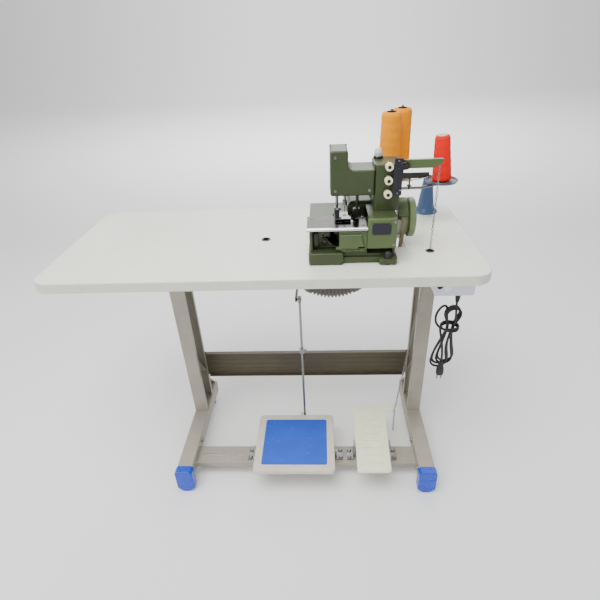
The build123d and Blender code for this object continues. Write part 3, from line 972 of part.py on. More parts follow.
def main():
    os.makedirs("parts", exist_ok=True)
    build_table()
    build_stand()
    build_pedals()
    build_chain()
    build_drive()
    build_switch()
    build_bed()
    build_plates()
    build_covers()
    build_arm()
    build_needle_works()
    build_tensions()
    build_thread_supply()


main()
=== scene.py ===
"""Looks of a serger overlock machine on its table and stand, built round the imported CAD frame."""
import json
import math

import bmesh
import bpy
import numpy as np
from bpy.props import FloatProperty, FloatVectorProperty, IntProperty, PointerProperty
from mathutils import Matrix, Vector


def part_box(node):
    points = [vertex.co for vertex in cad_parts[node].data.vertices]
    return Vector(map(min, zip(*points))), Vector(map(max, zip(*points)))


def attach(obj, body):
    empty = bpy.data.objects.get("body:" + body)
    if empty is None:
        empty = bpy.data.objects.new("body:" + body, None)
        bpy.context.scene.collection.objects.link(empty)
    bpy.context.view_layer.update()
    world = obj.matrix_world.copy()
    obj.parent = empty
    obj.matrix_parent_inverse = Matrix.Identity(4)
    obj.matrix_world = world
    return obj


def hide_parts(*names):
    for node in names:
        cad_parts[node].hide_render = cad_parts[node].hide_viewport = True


bl_info = {
    "name": "Serger Overlock Machine",
    "version": (1, 0, 0),
    "blender": (4, 5, 0),
    "location": "3D View > Sidebar > Serger",
    "description": "Finishes and fine detail for an overlock sewing head on its industrial table",
    "category": "Object",
}

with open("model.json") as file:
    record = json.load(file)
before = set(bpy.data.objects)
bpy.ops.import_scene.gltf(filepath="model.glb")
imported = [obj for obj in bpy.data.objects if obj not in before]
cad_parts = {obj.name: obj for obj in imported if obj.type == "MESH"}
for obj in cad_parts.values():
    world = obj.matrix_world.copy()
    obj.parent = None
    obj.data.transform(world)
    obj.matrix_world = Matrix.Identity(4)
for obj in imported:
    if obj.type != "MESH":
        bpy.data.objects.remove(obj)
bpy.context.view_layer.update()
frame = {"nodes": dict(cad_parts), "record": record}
TURN = 2 * math.pi
MM = 0.001

# Routes and seats repeated from the part's own sizes, in metres.
CHAIN_ROUTE = ((0.467, -0.086, 0.9977), (0.467, -0.086, 0.728),
               (0.4135, -0.0685, 0.1386), (0.4145, -0.0685, 0.030))
CORD_EXIT = (0.542, -0.148, 0.652)
HANK_TOP = (0.539, -0.1486, 0.627)
ORANGE_SEATS = ((0.369, 0.110, 0.925), (0.408, 0.170, 0.925))
ORANGE_SIZE = (0.0295, 0.027, 0.168)
RED_SEAT = (0.532, 0.130, 0.8903)
RED_SIZE = (0.028, 0.021, 0.130)
RED_LEAN = math.radians(5)

# The camera's place in metres, its lens in mm, and how far it turns left of +Y, looks down and leans.
CAMERA_AT = (0.1751, -1.2169, 1.2966)
CAMERA_LENS = 26.73
CAMERA_TURN, CAMERA_DIP, CAMERA_LEAN = (math.radians(degrees) for degrees in (3.70, 31.26, -2.92))

# Radii of the slotted screws.
CASTING_SCREW, COVER_SCREW, NEEDLE_PLATE_SCREW, GUIDE_SCREW = 0.0036, 0.0032, 0.0028, 0.0022
STAND_BOLT = 0.0075

# Each finish: label, colour as a screen shows it, how it is made up, and that make-up's own values.
FINISHES = {
    "laminate": ("Table laminate", "F1F1E6", "laminate", {}),
    "edge": ("Table edge band", "D8D8CC", "plastic", dict(rough=0.42, grain=900, depth=0.04)),
    "stand_paint": ("Stand paint", "A09A8D", "paint",
                    dict(rough=0.42, grain=1400, depth=0.10, wear=0.55)),
    # Crossbeam: the stand paint darkened, a painted shade for a beam that sits in shade under its top
    # flange.
    "beam_paint": ("Crossbeam paint", "585040", "paint",
                   dict(rough=0.42, grain=1400, depth=0.10, wear=0.35)),
    "blue_plastic": ("Blue foot caps", "0340C4", "plastic", dict(rough=0.28, grain=700, depth=0.05)),
    "cream_paint": ("Lift pedal paint", "F8F8D8", "paint",
                    dict(rough=0.36, grain=1200, depth=0.08, wear=0.75)),
    "pan_paint": ("Treadle paint", "D8D0C0", "paint",
                  dict(rough=0.40, grain=1300, depth=0.10, wear=0.55)),
    "blue_mat": ("Treadle mat", "0450CC", "mat", {}),
    "steel": ("Bright steel", "8E8E8C", "metal", dict(rough=0.30, grain=600)),
    "chrome": ("Chrome", "7C7C7D", "metal", dict(rough=0.10, grain=300)),
    "dark_steel": ("Blued steel", "47443F", "metal", dict(rough=0.34, grain=700)),
    "motor_paint": ("Motor bracket paint", "4A4743", "paint",
                    dict(rough=0.48, grain=1000, depth=0.12, wear=0.5)),
    "belt_rubber": ("Drive belt", "8D8064", "belt", {}),
    "grey_plastic": ("Switch box", "D8D8E8", "plastic", dict(rough=0.45, grain=1500, depth=0.10)),
    "white_plastic": ("White buttons", "EDEDE8", "plastic", dict(rough=0.25, grain=500, depth=0.03)),
    "black_plastic": ("Black plastic", "080808", "plastic", dict(rough=0.42, grain=1200, depth=0.08)),
    "cord_rubber": ("Mains lead", "181818", "rubber", dict(rough=0.55, grain=1600, depth=0.06)),
    "green_casting": ("Green enamel casting", "3B4528", "paint",
                      dict(rough=0.36, grain=520, depth=0.16, wear=0.5)),
    "green_sheet": ("Green enamel covers", "506038", "paint",
                    dict(rough=0.36, grain=620, depth=0.12, wear=0.5)),
    "green_wheel": ("Handwheel enamel", "708058", "paint",
                    dict(rough=0.34, grain=620, depth=0.12, wear=0.7)),
    "black_rubber": ("Black rubber", "1A1A1A", "rubber", dict(rough=0.62, grain=1200, depth=0.10)),
    # The cloth plate's dark colour is a painted dark reflection on polished steel.
    "plate_steel": ("Polished cloth plate", "46423F", "plate", {}),
    "navy_plate": ("Navy guide plate", "202028", "paint",
                   dict(rough=0.32, grain=900, depth=0.06, wear=0.6)),
    "cream_plastic": ("Cream knobs", "F8F0C0", "plastic", dict(rough=0.30, grain=700, depth=0.04)),
    "sight_plastic": ("Oil sight dome", "DCE6D0", "sight", {}),
    "tray_plastic": ("Spool tray", "505060", "plastic", dict(rough=0.38, grain=900, depth=0.06)),
    "orange_thread": ("Orange thread", "FA9C00", "thread", {}),
    "red_thread": ("Red thread", "F01810", "thread", {}),
    "blue_thread": ("Blue cone", "446089", "plastic", dict(rough=0.36, grain=900, depth=0.05)),
    "aluminium_paint": ("Motor body paint", "5B5650", "paint",
                        dict(rough=0.46, grain=800, depth=0.16, wear=0.4)),
}
PAINT_DUST, RUBBER_DUST = (0.55, 0.54, 0.50, 1), (0.30, 0.29, 0.27, 1)


def screen_colour(text):
    """Linear colour of a six-figure screen colour."""
    shown = np.array([int(text[i:i + 2], 16) / 255 for i in (0, 2, 4)])
    return tuple(np.where(shown <= 0.04045, shown / 12.92, ((shown + 0.055) / 1.055) ** 2.4).tolist())


# ---------------------------------------------------------------- surfaces as arrays
def woven(points, wrap_v=True, wrap_u=False):
    """Quads over a grid of points (rows u, columns v), closed round v, and round u if asked.

    Returns vertices, quads and each quad's corner UVs, with u up the rows and v round the columns.
    """
    rows, cols = points.shape[:2]
    i = np.arange(rows if wrap_u else rows - 1)[:, None]
    j = np.arange(cols if wrap_v else cols - 1)[None, :]
    i, j = np.broadcast_arrays(i, j)
    ni, nj = (i + 1) % rows, (j + 1) % cols
    quads = np.stack([i * cols + j, i * cols + nj, ni * cols + nj, ni * cols + j], -1).reshape(-1, 4)
    u0, u1 = i / max(rows - 1, 1), (i + 1) / max(rows - 1, 1)
    v0, v1 = j / cols, (j + 1) / cols
    uvs = np.stack([np.stack([v0, u0], -1), np.stack([v1, u0], -1),
                    np.stack([v1, u1], -1), np.stack([v0, u1], -1)], -2).reshape(-1, 4, 2)
    return points.reshape(-1, 3), quads, uvs


def turned(profile, count=48):
    """Turned shape about Z: (r cos a, r sin a, h) for each (r, h) of the profile and a full turn of a."""
    angle = np.linspace(0, TURN, count, endpoint=False)
    radius, height = np.asarray(profile, float).T
    points = np.stack([np.outer(radius, np.cos(angle)), np.outer(radius, np.sin(angle)),
                       np.repeat(height[:, None], count, 1)], -1)
    return woven(points)


def tube(path, radius, sides=10, up=(0.0, 0.0, 1.0)):
    """Round bar along a path, its ends drawn to a point: each point + radius (cos a across - sin a upright).

    Across is the path's direction crossed with a fixed up, upright is across crossed with the direction.
    """
    path = np.asarray(path, float)
    along = np.gradient(path, axis=0)
    along /= np.linalg.norm(along, axis=1, keepdims=True)
    across = np.cross(along, np.asarray(up, float))
    across /= np.linalg.norm(across, axis=1, keepdims=True)
    upright = np.cross(across, along)
    angle = np.linspace(0, TURN, sides, endpoint=False)
    ring = (np.cos(angle)[None, :, None] * across[:, None, :]
            - np.sin(angle)[None, :, None] * upright[:, None, :])
    size = np.broadcast_to(np.asarray(radius, float), (len(path),))[:, None, None]
    body = path[:, None, :] + size * ring
    ends = [np.repeat(path[k][None, None, :], sides, 1) for k in (0, -1)]
    return woven(np.concatenate([ends[0], body, ends[1]]))


def soft_box(low, high, corner=0.15, count=24):
    """Block with rounded corners: a superellipsoid stretched between two corners.

    With s(t) = sign(t) |t|^corner, a point is the centre plus half sizes times
    (s(cos e) s(cos a), s(cos e) s(sin a), s(sin e)).
    """
    low, high = np.asarray(low, float), np.asarray(high, float)
    steep = np.linspace(-0.5 * math.pi, 0.5 * math.pi, count)[:, None]
    round_ = (np.linspace(0, TURN, 2 * count, endpoint=False) + TURN / (4 * count))[None, :]

    def power(t):
        return np.sign(t) * np.abs(t) ** corner

    points = np.stack([power(np.cos(steep)) * power(np.cos(round_)),
                       power(np.cos(steep)) * power(np.sin(round_)),
                       power(np.sin(steep)) * np.ones_like(round_)], -1)
    return woven((low + high) / 2 + points * (high - low) / 2)


def slab(outline, bottom, top):
    """Wall over a flat outline, for z from bottom to top, with both faces closed to the outline's middle."""
    flat = np.asarray(outline, float)
    middle = flat.mean(0)
    rows = [np.column_stack([np.repeat(middle[None], len(flat), 0), np.full(len(flat), bottom)]),
            np.column_stack([flat, np.full(len(flat), bottom)]),
            np.column_stack([flat, np.full(len(flat), top)]),
            np.column_stack([np.repeat(middle[None], len(flat), 0), np.full(len(flat), top)])]
    return woven(np.stack(rows))


def facing(shape, centre, axis=(0, 0, 1), spin=0.0):
    """The shape turned so that its Z points along the axis, then moved to the centre."""
    points, quads, uvs = shape
    turn = Vector(axis).to_track_quat("Z", "Y").to_matrix() @ Matrix.Rotation(spin, 3, "Z")
    return points @ np.array(turn).T + np.asarray(centre, float), quads, uvs


def slotted_screw(centre, axis, radius, spin=0.0):
    """Cheese-head screw: a turned disc with two part-discs on it that leave a slot between them."""
    height = radius * 0.55
    slot = radius * 0.16
    base = turned([(0, 0), (radius, 0), (radius, height * 0.55), (0, height * 0.55)], 28)
    reach = math.acos(slot / radius)
    arc = np.linspace(-reach, reach, 14)
    half = np.column_stack([radius * 0.96 * np.cos(arc), radius * 0.96 * np.sin(arc)])
    lids = [slab(half, height * 0.5, height), slab(-half, height * 0.5, height)]
    return [facing(part, centre, axis, spin) for part in [base, *lids]]


def hex_bolt(centre, axis, radius, spin=0.0):
    """Button bolt with a six-sided socket: rings from the socket floor out over the domed head."""
    angle = np.linspace(0, TURN, 36, endpoint=False)
    flat = radius * 0.42 / np.maximum(np.cos((angle % (TURN / 6)) - TURN / 12), 0.5) * math.cos(TURN / 12)
    rings = [(0.0 * flat, 0.25), (flat, 0.25), (flat, 0.62), (0 * flat + radius * 0.62, 0.66),
             (0 * flat + radius * 0.9, 0.45), (0 * flat + radius, 0.0), (0 * flat, 0.0)]
    points = np.stack([
        np.column_stack([r * np.cos(angle), r * np.sin(angle), np.full(len(angle), h * radius)])
        for r, h in rings[::-1]])
    washer = turned([(0, -0.12 * radius), (radius * 1.35, -0.12 * radius), (radius * 1.35, 0.06 * radius),
                     (0, 0.06 * radius)], 32)
    return [facing(woven(points), centre, axis, spin), facing(washer, centre, axis)]


def piece(name, shapes, material, body, sharp=35.0):
    """One mesh of several shapes, riding on a body, with one finish."""
    start, points, quads, uvs = 0, [], [], []
    for p, q, uv in shapes:
        points.append(p)
        quads.append(q + start)
        uvs.append(uv)
        start += len(p)
    points, quads, uvs = np.concatenate(points), np.concatenate(quads), np.concatenate(uvs)
    mesh = bpy.data.meshes.new(name)
    mesh.from_pydata(points.tolist(), [], quads.tolist())
    layer = mesh.uv_layers.new(name="UVMap")
    layer.data.foreach_set("uv", uvs.reshape(-1).astype(np.float32))
    work = bmesh.new()
    work.from_mesh(mesh)
    bmesh.ops.remove_doubles(work, verts=work.verts, dist=1e-6)
    bmesh.ops.dissolve_degenerate(work, edges=work.edges, dist=1e-7)
    bmesh.ops.recalc_face_normals(work, faces=work.faces)
    work.to_mesh(mesh)
    work.free()
    mesh.polygons.foreach_set("use_smooth", np.ones(len(mesh.polygons), bool))
    mesh.set_sharp_from_angle(angle=math.radians(sharp))
    mesh.materials.append(material)
    made = bpy.data.objects.new(name, mesh)
    bpy.context.scene.collection.objects.link(made)
    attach(made, body)
    return made


# ---------------------------------------------------------------- shader groups
def new_group(name, inputs, outputs):
    """Empty shader group with float inputs (name, default) and outputs (name, socket type)."""
    group = bpy.data.node_groups.new(name, "ShaderNodeTree")
    for label, default in inputs:
        socket = group.interface.new_socket(name=label, in_out="INPUT", socket_type="NodeSocketFloat")
        socket.default_value = default
    for label, kind in outputs:
        group.interface.new_socket(name=label, in_out="OUTPUT", socket_type=kind)
    return group, group.nodes.new("NodeGroupInput"), group.nodes.new("NodeGroupOutput")


def add(tree, kind, **values):
    """A node with its settings, and its input sockets by name or number."""
    node = tree.nodes.new(kind)
    for key, value in values.items():
        if key == "sockets":
            for socket, given in value.items():
                if isinstance(given, bpy.types.NodeSocket):
                    tree.links.new(given, node.inputs[socket])
                else:
                    node.inputs[socket].default_value = given
        else:
            setattr(node, key, value)
    return node


def ramp(tree, factor, low, high):
    """Black to white as the factor goes from low to high."""
    node = add(tree, "ShaderNodeValToRGB", sockets={"Fac": factor})
    for stop, position, colour in zip(node.color_ramp.elements, (low, high), ((0, 0, 0, 1), (1, 1, 1, 1))):
        stop.position, stop.color = position, colour
    return node.outputs["Color"]


def maths(tree, operation, first, second=0.0, clamp=False):
    """One sum of two values."""
    return add(tree, "ShaderNodeMath", operation=operation, use_clamp=clamp,
               sockets={0: first, 1: second}).outputs[0]


def object_point(tree):
    """The shaded point in the object's own coordinates."""
    return add(tree, "ShaderNodeTexCoord").outputs["Object"]


def noise(tree, scale, detail, roughness=0.5, point=None):
    """Cloudy noise over the object's own coordinates, or over the point that is given."""
    if point is None:
        point = object_point(tree)
    return add(tree, "ShaderNodeTexNoise", sockets={"Vector": point, "Scale": scale, "Detail": detail,
                                                    "Roughness": roughness}).outputs["Fac"]


def cells(tree, scale, randomness):
    """Cell pattern over the object's own coordinates."""
    return add(tree, "ShaderNodeTexVoronoi", sockets={"Vector": object_point(tree), "Scale": scale,
                                                      "Randomness": randomness}).outputs


def stretched(tree, along, turned_by=0.0):
    """The object's own coordinates drawn out along X, for brushed and scratched metal."""
    return add(tree, "ShaderNodeMapping", sockets={"Vector": object_point(tree), "Scale": (along, 1.0, 1.0),
                                                   "Rotation": (0.0, 0.0, turned_by)}).outputs[0]


def span(tree, value, low, high, start=0.0, end=1.0):
    """The value's place between low and high, as a number from start to end."""
    return add(tree, "ShaderNodeMapRange", sockets={"Value": value, "From Min": low, "From Max": high,
                                                    "To Min": start, "To Max": end}).outputs[0]


def build_groups():
    """Shared effects: mottle, edge wear, fine grain, settled dust, speckle and wound thread."""
    groups = {}
    g, enter, leave = new_group("mottle", [("Scale", 12.0)], [("Mask", "NodeSocketFloat")])
    wide = noise(g, enter.outputs["Scale"], 5.0, 0.62)
    g.links.new(ramp(g, wide, 0.32, 0.70), leave.inputs["Mask"])
    groups["mottle"] = g

    g, enter, leave = new_group("edge_wear", [("Radius", 0.0012), ("Amount", 0.6), ("Breakup", 160.0)],
                                [("Mask", "NodeSocketFloat"), ("Normal", "NodeSocketVector")])
    bevel = add(g, "ShaderNodeBevel", samples=4, sockets={"Radius": enter.outputs["Radius"]})
    true = add(g, "ShaderNodeNewGeometry").outputs["Normal"]
    dot = add(g, "ShaderNodeVectorMath", operation="DOT_PRODUCT", sockets={0: bevel.outputs[0], 1: true})
    turn = maths(g, "SUBTRACT", 1.0, dot.outputs["Value"])
    broken = noise(g, enter.outputs["Breakup"], 4.0, 0.7)
    edge = maths(g, "MULTIPLY", ramp(g, turn, 0.03, 0.16), ramp(g, broken, 0.44, 0.60))
    g.links.new(maths(g, "MULTIPLY", edge, enter.outputs["Amount"], True), leave.inputs["Mask"])
    g.links.new(bevel.outputs[0], leave.inputs["Normal"])
    groups["edge_wear"] = g

    g, enter, leave = new_group("fine_grain", [("Scale", 900.0)], [("Height", "NodeSocketFloat")])
    g.links.new(noise(g, enter.outputs["Scale"], 3.0, 0.55), leave.inputs["Height"])
    groups["fine_grain"] = g

    g, enter, leave = new_group("settled_dust", [("Amount", 0.2), ("Scale", 45.0)],
                                [("Mask", "NodeSocketFloat")])
    split = add(g, "ShaderNodeSeparateXYZ", sockets={0: add(g, "ShaderNodeNewGeometry").outputs["Normal"]})
    up = ramp(g, split.outputs["Z"], 0.55, 1.0)
    cloud = noise(g, enter.outputs["Scale"], 8.0, 0.75)
    film = maths(g, "MULTIPLY", up, ramp(g, cloud, 0.40, 0.75))
    g.links.new(maths(g, "MULTIPLY", film, enter.outputs["Amount"], True), leave.inputs["Mask"])
    groups["settled_dust"] = g

    g, enter, leave = new_group("speckle", [("Scale", 300.0), ("Share", 0.3)],
                                [("Mask", "NodeSocketFloat")])
    flecks = cells(g, enter.outputs["Scale"], 1.0)
    chosen = add(g, "ShaderNodeSeparateColor", sockets={0: flecks["Color"]}).outputs[0]
    near = maths(g, "LESS_THAN", flecks["Distance"], 0.42)
    g.links.new(maths(g, "MULTIPLY", near, maths(g, "LESS_THAN", chosen, enter.outputs["Share"])),
                leave.inputs["Mask"])
    groups["speckle"] = g

    g, enter, leave = new_group("wound_thread", [("Strands", 330.0), ("Slope", 26.0)],
                                [("Height", "NodeSocketFloat")])
    place = add(g, "ShaderNodeSeparateXYZ", sockets={0: add(g, "ShaderNodeTexCoord").outputs["UV"]})
    slope = maths(g, "MULTIPLY", place.outputs["X"], enter.outputs["Slope"])
    rise = maths(g, "MULTIPLY", place.outputs["Y"], enter.outputs["Strands"])
    waves = [maths(g, "ABSOLUTE",
                   maths(g, "SINE", maths(g, "MULTIPLY", maths(g, way, rise, slope), math.pi)))
             for way in ("ADD", "SUBTRACT")]
    g.links.new(maths(g, "MAXIMUM", *waves), leave.inputs["Height"])
    groups["wound_thread"] = g
    return groups


def use(tree, groups, name, **values):
    """A shared group placed in a material, with its own values."""
    node = tree.nodes.new("ShaderNodeGroup")
    node.node_tree = groups[name]
    for key, value in values.items():
        node.inputs[key].default_value = value
    return node.outputs


def blended(tree, factor, first, second):
    """Two colours mixed by a factor."""
    return add(tree, "ShaderNodeMix", data_type="RGBA",
               sockets={0: factor, 6: first, 7: second}).outputs[2]


def shade(colour, by):
    """The colour made darker or lighter, with its alpha."""
    return tuple(min(1.0, c * by) for c in colour[:3]) + (1.0,)


def new_material(name):
    """An empty material, its node tree and its shader."""
    material = bpy.data.materials.new(name)
    material.use_nodes = True
    tree = material.node_tree
    return material, tree, tree.nodes["Principled BSDF"]


def join_roughness(tree, shader, mask, spread, rough):
    """Roughness that follows a mask, spread evenly round its mean."""
    tree.links.new(maths(tree, "ADD", maths(tree, "MULTIPLY", mask, spread), rough - spread / 2),
                   shader.inputs["Roughness"])


def join_normal(tree, shader, height, strength, distance, under=None):
    """A bump from the height, over the normal that is given."""
    sockets = {"Height": height, "Strength": strength, "Distance": distance}
    if under is not None:
        sockets["Normal"] = under
    tree.links.new(add(tree, "ShaderNodeBump", sockets=sockets).outputs[0], shader.inputs["Normal"])


def make_paint(name, colour, groups, rough=0.35, grain=800, depth=0.1, wear=0.6):
    """Enamel on metal: mottled coat with an orange-peel skin, bare worn edges and a little dust."""
    material, tree, shader = new_material(name)
    mottle = use(tree, groups, "mottle", Scale=14.0)["Mask"]
    worn = use(tree, groups, "edge_wear", Radius=0.0011, Amount=wear, Breakup=190.0)
    dust = use(tree, groups, "settled_dust", Amount=0.05, Scale=60.0)["Mask"]
    coat = blended(tree, mottle, shade(colour, 0.90), shade(colour, 1.07))
    bare = blended(tree, worn["Mask"], coat, shade([0.55 * c + 0.22 for c in colour], 1.0))
    tree.links.new(blended(tree, dust, bare, PAINT_DUST), shader.inputs["Base Color"])
    join_roughness(tree, shader, mottle, 0.10, rough)
    shader.inputs["Coat Weight"].default_value = 0.06
    shader.inputs["Coat Roughness"].default_value = 0.20
    shader.inputs["Specular IOR Level"].default_value = 0.35
    join_normal(tree, shader, use(tree, groups, "fine_grain", Scale=grain)["Height"], depth, 0.0006,
                worn["Normal"])
    return material


def make_plastic(name, colour, groups, rough=0.4, grain=900, depth=0.05):
    """Moulded plastic: even colour with a faint cloud, a fine skin and softened edges."""
    material, tree, shader = new_material(name)
    mottle = use(tree, groups, "mottle", Scale=30.0)["Mask"]
    edge = use(tree, groups, "edge_wear", Radius=0.0008, Amount=0.25, Breakup=300.0)
    body = blended(tree, mottle, shade(colour, 0.94), shade(colour, 1.04))
    tree.links.new(blended(tree, edge["Mask"], body, shade([0.7 * c + 0.15 for c in colour], 1.0)),
                   shader.inputs["Base Color"])
    join_roughness(tree, shader, mottle, 0.08, rough)
    join_normal(tree, shader, use(tree, groups, "fine_grain", Scale=grain)["Height"], depth, 0.0005,
                edge["Normal"])
    return material


def make_rubber(name, colour, groups, rough=0.6, grain=1200, depth=0.08):
    """Rubber: dull and dark with pale dust in its upper faces."""
    material, tree, shader = new_material(name)
    mottle = use(tree, groups, "mottle", Scale=40.0)["Mask"]
    dust = use(tree, groups, "settled_dust", Amount=0.22, Scale=120.0)["Mask"]
    body = blended(tree, mottle, shade(colour, 0.85), shade(colour, 1.15))
    tree.links.new(blended(tree, dust, body, RUBBER_DUST), shader.inputs["Base Color"])
    join_roughness(tree, shader, mottle, 0.12, rough)
    join_normal(tree, shader, use(tree, groups, "fine_grain", Scale=grain)["Height"], depth, 0.0004)
    return material


def make_metal(name, colour, groups, rough=0.3, grain=600):
    """Machined metal: brushed streaks, a darker oily cloud and bright softened edges."""
    material, tree, shader = new_material(name)
    lines = noise(tree, float(grain * 3), 2.0, point=stretched(tree, 0.06))
    mottle = use(tree, groups, "mottle", Scale=60.0)["Mask"]
    edge = use(tree, groups, "edge_wear", Radius=0.0006, Amount=0.5, Breakup=400.0)
    body = blended(tree, mottle, shade(colour, 0.82), shade(colour, 1.05))
    tree.links.new(blended(tree, edge["Mask"], body, shade([0.5 * c + 0.35 for c in colour], 1.0)),
                   shader.inputs["Base Color"])
    shader.inputs["Metallic"].default_value = 1.0
    tree.links.new(maths(tree, "ADD", maths(tree, "MULTIPLY", lines, 0.16), rough - 0.08, True),
                   shader.inputs["Roughness"])
    join_normal(tree, shader, lines, 0.05, 0.0003, edge["Normal"])
    return material


def make_plate(name, colour, groups):
    """Cloth plate: polished top darkened as a painted dark reflection, with fine scratches, and a bright
    front edge that is a painted highlight.
    """
    material, tree, shader = new_material(name)
    low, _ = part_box("cloth_plate")
    # Bright front-edge colour: a painted highlight along the plate's rolled front edge.
    painted_edge_highlight = (0.86, 0.87, 0.88, 1)
    split = add(tree, "ShaderNodeSeparateXYZ", sockets={0: object_point(tree)})
    front = span(tree, split.outputs["Y"], low.y + 0.0055, low.y + 0.0085, 1.0, 0.0)
    mottle = use(tree, groups, "mottle", Scale=26.0)["Mask"]
    lines = noise(tree, 2600.0, 3.0, point=stretched(tree, 0.05, 0.35))
    # Top colour darkened from polished steel: a painted dark reflection.
    top = blended(tree, mottle, shade(colour, 0.62), shade(colour, 1.1))
    tree.links.new(blended(tree, front, top, painted_edge_highlight), shader.inputs["Base Color"])
    shader.inputs["Metallic"].default_value = 1.0
    tree.links.new(maths(tree, "ADD", maths(tree, "MULTIPLY", lines, 0.18), 0.12, True),
                   shader.inputs["Roughness"])
    edge = use(tree, groups, "edge_wear", Radius=0.0010, Amount=0.5, Breakup=300.0)
    join_normal(tree, shader, lines, 0.04, 0.0003, edge["Normal"])
    return material


def make_laminate(name, colour, groups):
    """Table laminate: off-white with a dense crackle of grey flecks and a faint sheen."""
    material, tree, shader = new_material(name)
    small = use(tree, groups, "speckle", Scale=420.0, Share=0.34)["Mask"]
    large = use(tree, groups, "speckle", Scale=170.0, Share=0.20)["Mask"]
    mottle = use(tree, groups, "mottle", Scale=5.0)["Mask"]
    ground = blended(tree, mottle, shade(colour, 0.965), shade(colour, 1.03))
    flecks = blended(tree, maths(tree, "MULTIPLY", small, 0.55), ground, shade(colour, 0.74))
    tree.links.new(blended(tree, maths(tree, "MULTIPLY", large, 0.38), flecks, shade(colour, 0.80)),
                   shader.inputs["Base Color"])
    join_roughness(tree, shader, mottle, 0.08, 0.38)
    join_normal(tree, shader, use(tree, groups, "fine_grain", Scale=1500.0)["Height"], 0.05, 0.0004)
    return material


def make_mat(name, colour, groups):
    """Treadle mat: blue rubber with a fine pebble, darker scuffs and small pale nicks."""
    material, tree, shader = new_material(name)
    mottle = use(tree, groups, "mottle", Scale=9.0)["Mask"]
    nicks = use(tree, groups, "speckle", Scale=110.0, Share=0.05)["Mask"]
    pale_nick = (0.20, 0.40, 0.75, 1)
    pebble = cells(tree, 620.0, 0.6)["Distance"]
    body = blended(tree, mottle, shade(colour, 0.86), shade(colour, 1.08))
    tree.links.new(blended(tree, maths(tree, "MULTIPLY", nicks, 0.12), body, pale_nick),
                   shader.inputs["Base Color"])
    shader.inputs["Roughness"].default_value = 0.52
    join_normal(tree, shader, pebble, 0.35, 0.0005)
    return material


def make_belt(name, colour, groups):
    """Drive belt: worn woven rubber, ribbed across."""
    material, tree, shader = new_material(name)
    mottle = use(tree, groups, "mottle", Scale=70.0)["Mask"]
    weave = cells(tree, 1100.0, 0.25)["Distance"]
    tree.links.new(blended(tree, mottle, shade(colour, 0.70), shade(colour, 1.15)),
                   shader.inputs["Base Color"])
    shader.inputs["Roughness"].default_value = 0.72
    join_normal(tree, shader, weave, 0.5, 0.0004)
    return material


def make_sight(name, colour, groups):
    """Oil sight dome: cloudy clear plastic, greener towards its rim."""
    material, tree, shader = new_material(name)
    low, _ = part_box("oil_dome")
    oily, black_collar = (0.42, 0.52, 0.30, 1), (0.012, 0.012, 0.014, 1)
    level = add(tree, "ShaderNodeSeparateXYZ", sockets={0: object_point(tree)}).outputs["Z"]
    height = span(tree, level, low.z + 0.0045, low.z + 0.0165)
    above_collar = span(tree, level, low.z + 0.0066, low.z + 0.0070)
    mottle = use(tree, groups, "mottle", Scale=90.0)["Mask"]
    cloud = blended(tree, mottle, shade(colour, 0.92), shade(colour, 1.05))
    dome = blended(tree, height, oily, cloud)
    tree.links.new(blended(tree, above_collar, black_collar, dome), shader.inputs["Base Color"])
    shader.inputs["Roughness"].default_value = 0.16
    shader.inputs["Coat Weight"].default_value = 0.5
    join_normal(tree, shader, use(tree, groups, "fine_grain", Scale=600.0)["Height"], 0.03, 0.0004)
    return material


def make_thread(name, colour, groups):
    """Wound thread: crossing strands with painted shade darkening their furrows, and a soft sheen."""
    material, tree, shader = new_material(name)
    strands = use(tree, groups, "wound_thread", Strands=230.0, Slope=40.0)["Height"]
    mottle = use(tree, groups, "mottle", Scale=22.0)["Mask"]
    # Painted shade: the thread colour darkens in the furrows between the wound strands.
    painted_furrow_shade = blended(tree, ramp(tree, strands, 0.15, 0.95), shade(colour, 0.72), shade(colour, 1.08))
    tree.links.new(blended(tree, maths(tree, "MULTIPLY", mottle, 0.35), painted_furrow_shade, shade(colour, 0.86)),
                   shader.inputs["Base Color"])
    shader.inputs["Roughness"].default_value = 0.68
    shader.inputs["Specular IOR Level"].default_value = 0.12
    shader.inputs["Sheen Weight"].default_value = 0.06
    join_normal(tree, shader, strands, 0.45, 0.0004)
    return material


MAKERS = {"paint": make_paint, "plastic": make_plastic, "rubber": make_rubber, "metal": make_metal,
          "plate": make_plate, "laminate": make_laminate, "mat": make_mat, "belt": make_belt,
          "sight": make_sight, "thread": make_thread}


def material_of(slot):
    """The finish of a material slot, built the first time that it is asked for."""
    name = "serger_" + slot
    if name in bpy.data.materials:
        return bpy.data.materials[name]
    groups = {g.name: g for g in bpy.data.node_groups} or build_groups()
    _, _, kind, values = FINISHES[slot]
    colour = tuple(getattr(bpy.context.scene.serger_colours, slot))
    return MAKERS[kind](name, colour, groups, **values)


# ---------------------------------------------------------------- settings
class SergerColours(bpy.types.PropertyGroup):
    """One colour for each finish."""
    __annotations__ = {slot: FloatVectorProperty(name=label, description=f"Colour of the {label.lower()}",
                                                 subtype="COLOR", size=3, min=0.0, max=1.0,
                                                 default=screen_colour(shown))
                       for slot, (label, shown, _, _) in FINISHES.items()}


class SergerChain(bpy.types.PropertyGroup):
    """Sizes of the lift chain."""
    link_length: FloatProperty(name="Link length", description="Outside length of one link", default=0.0108,
                               unit="LENGTH")
    link_width: FloatProperty(name="Link width", description="Outside width of one link", default=0.0068,
                              unit="LENGTH")
    wire: FloatProperty(name="Wire", description="Thickness of the link wire", default=0.0017, unit="LENGTH")


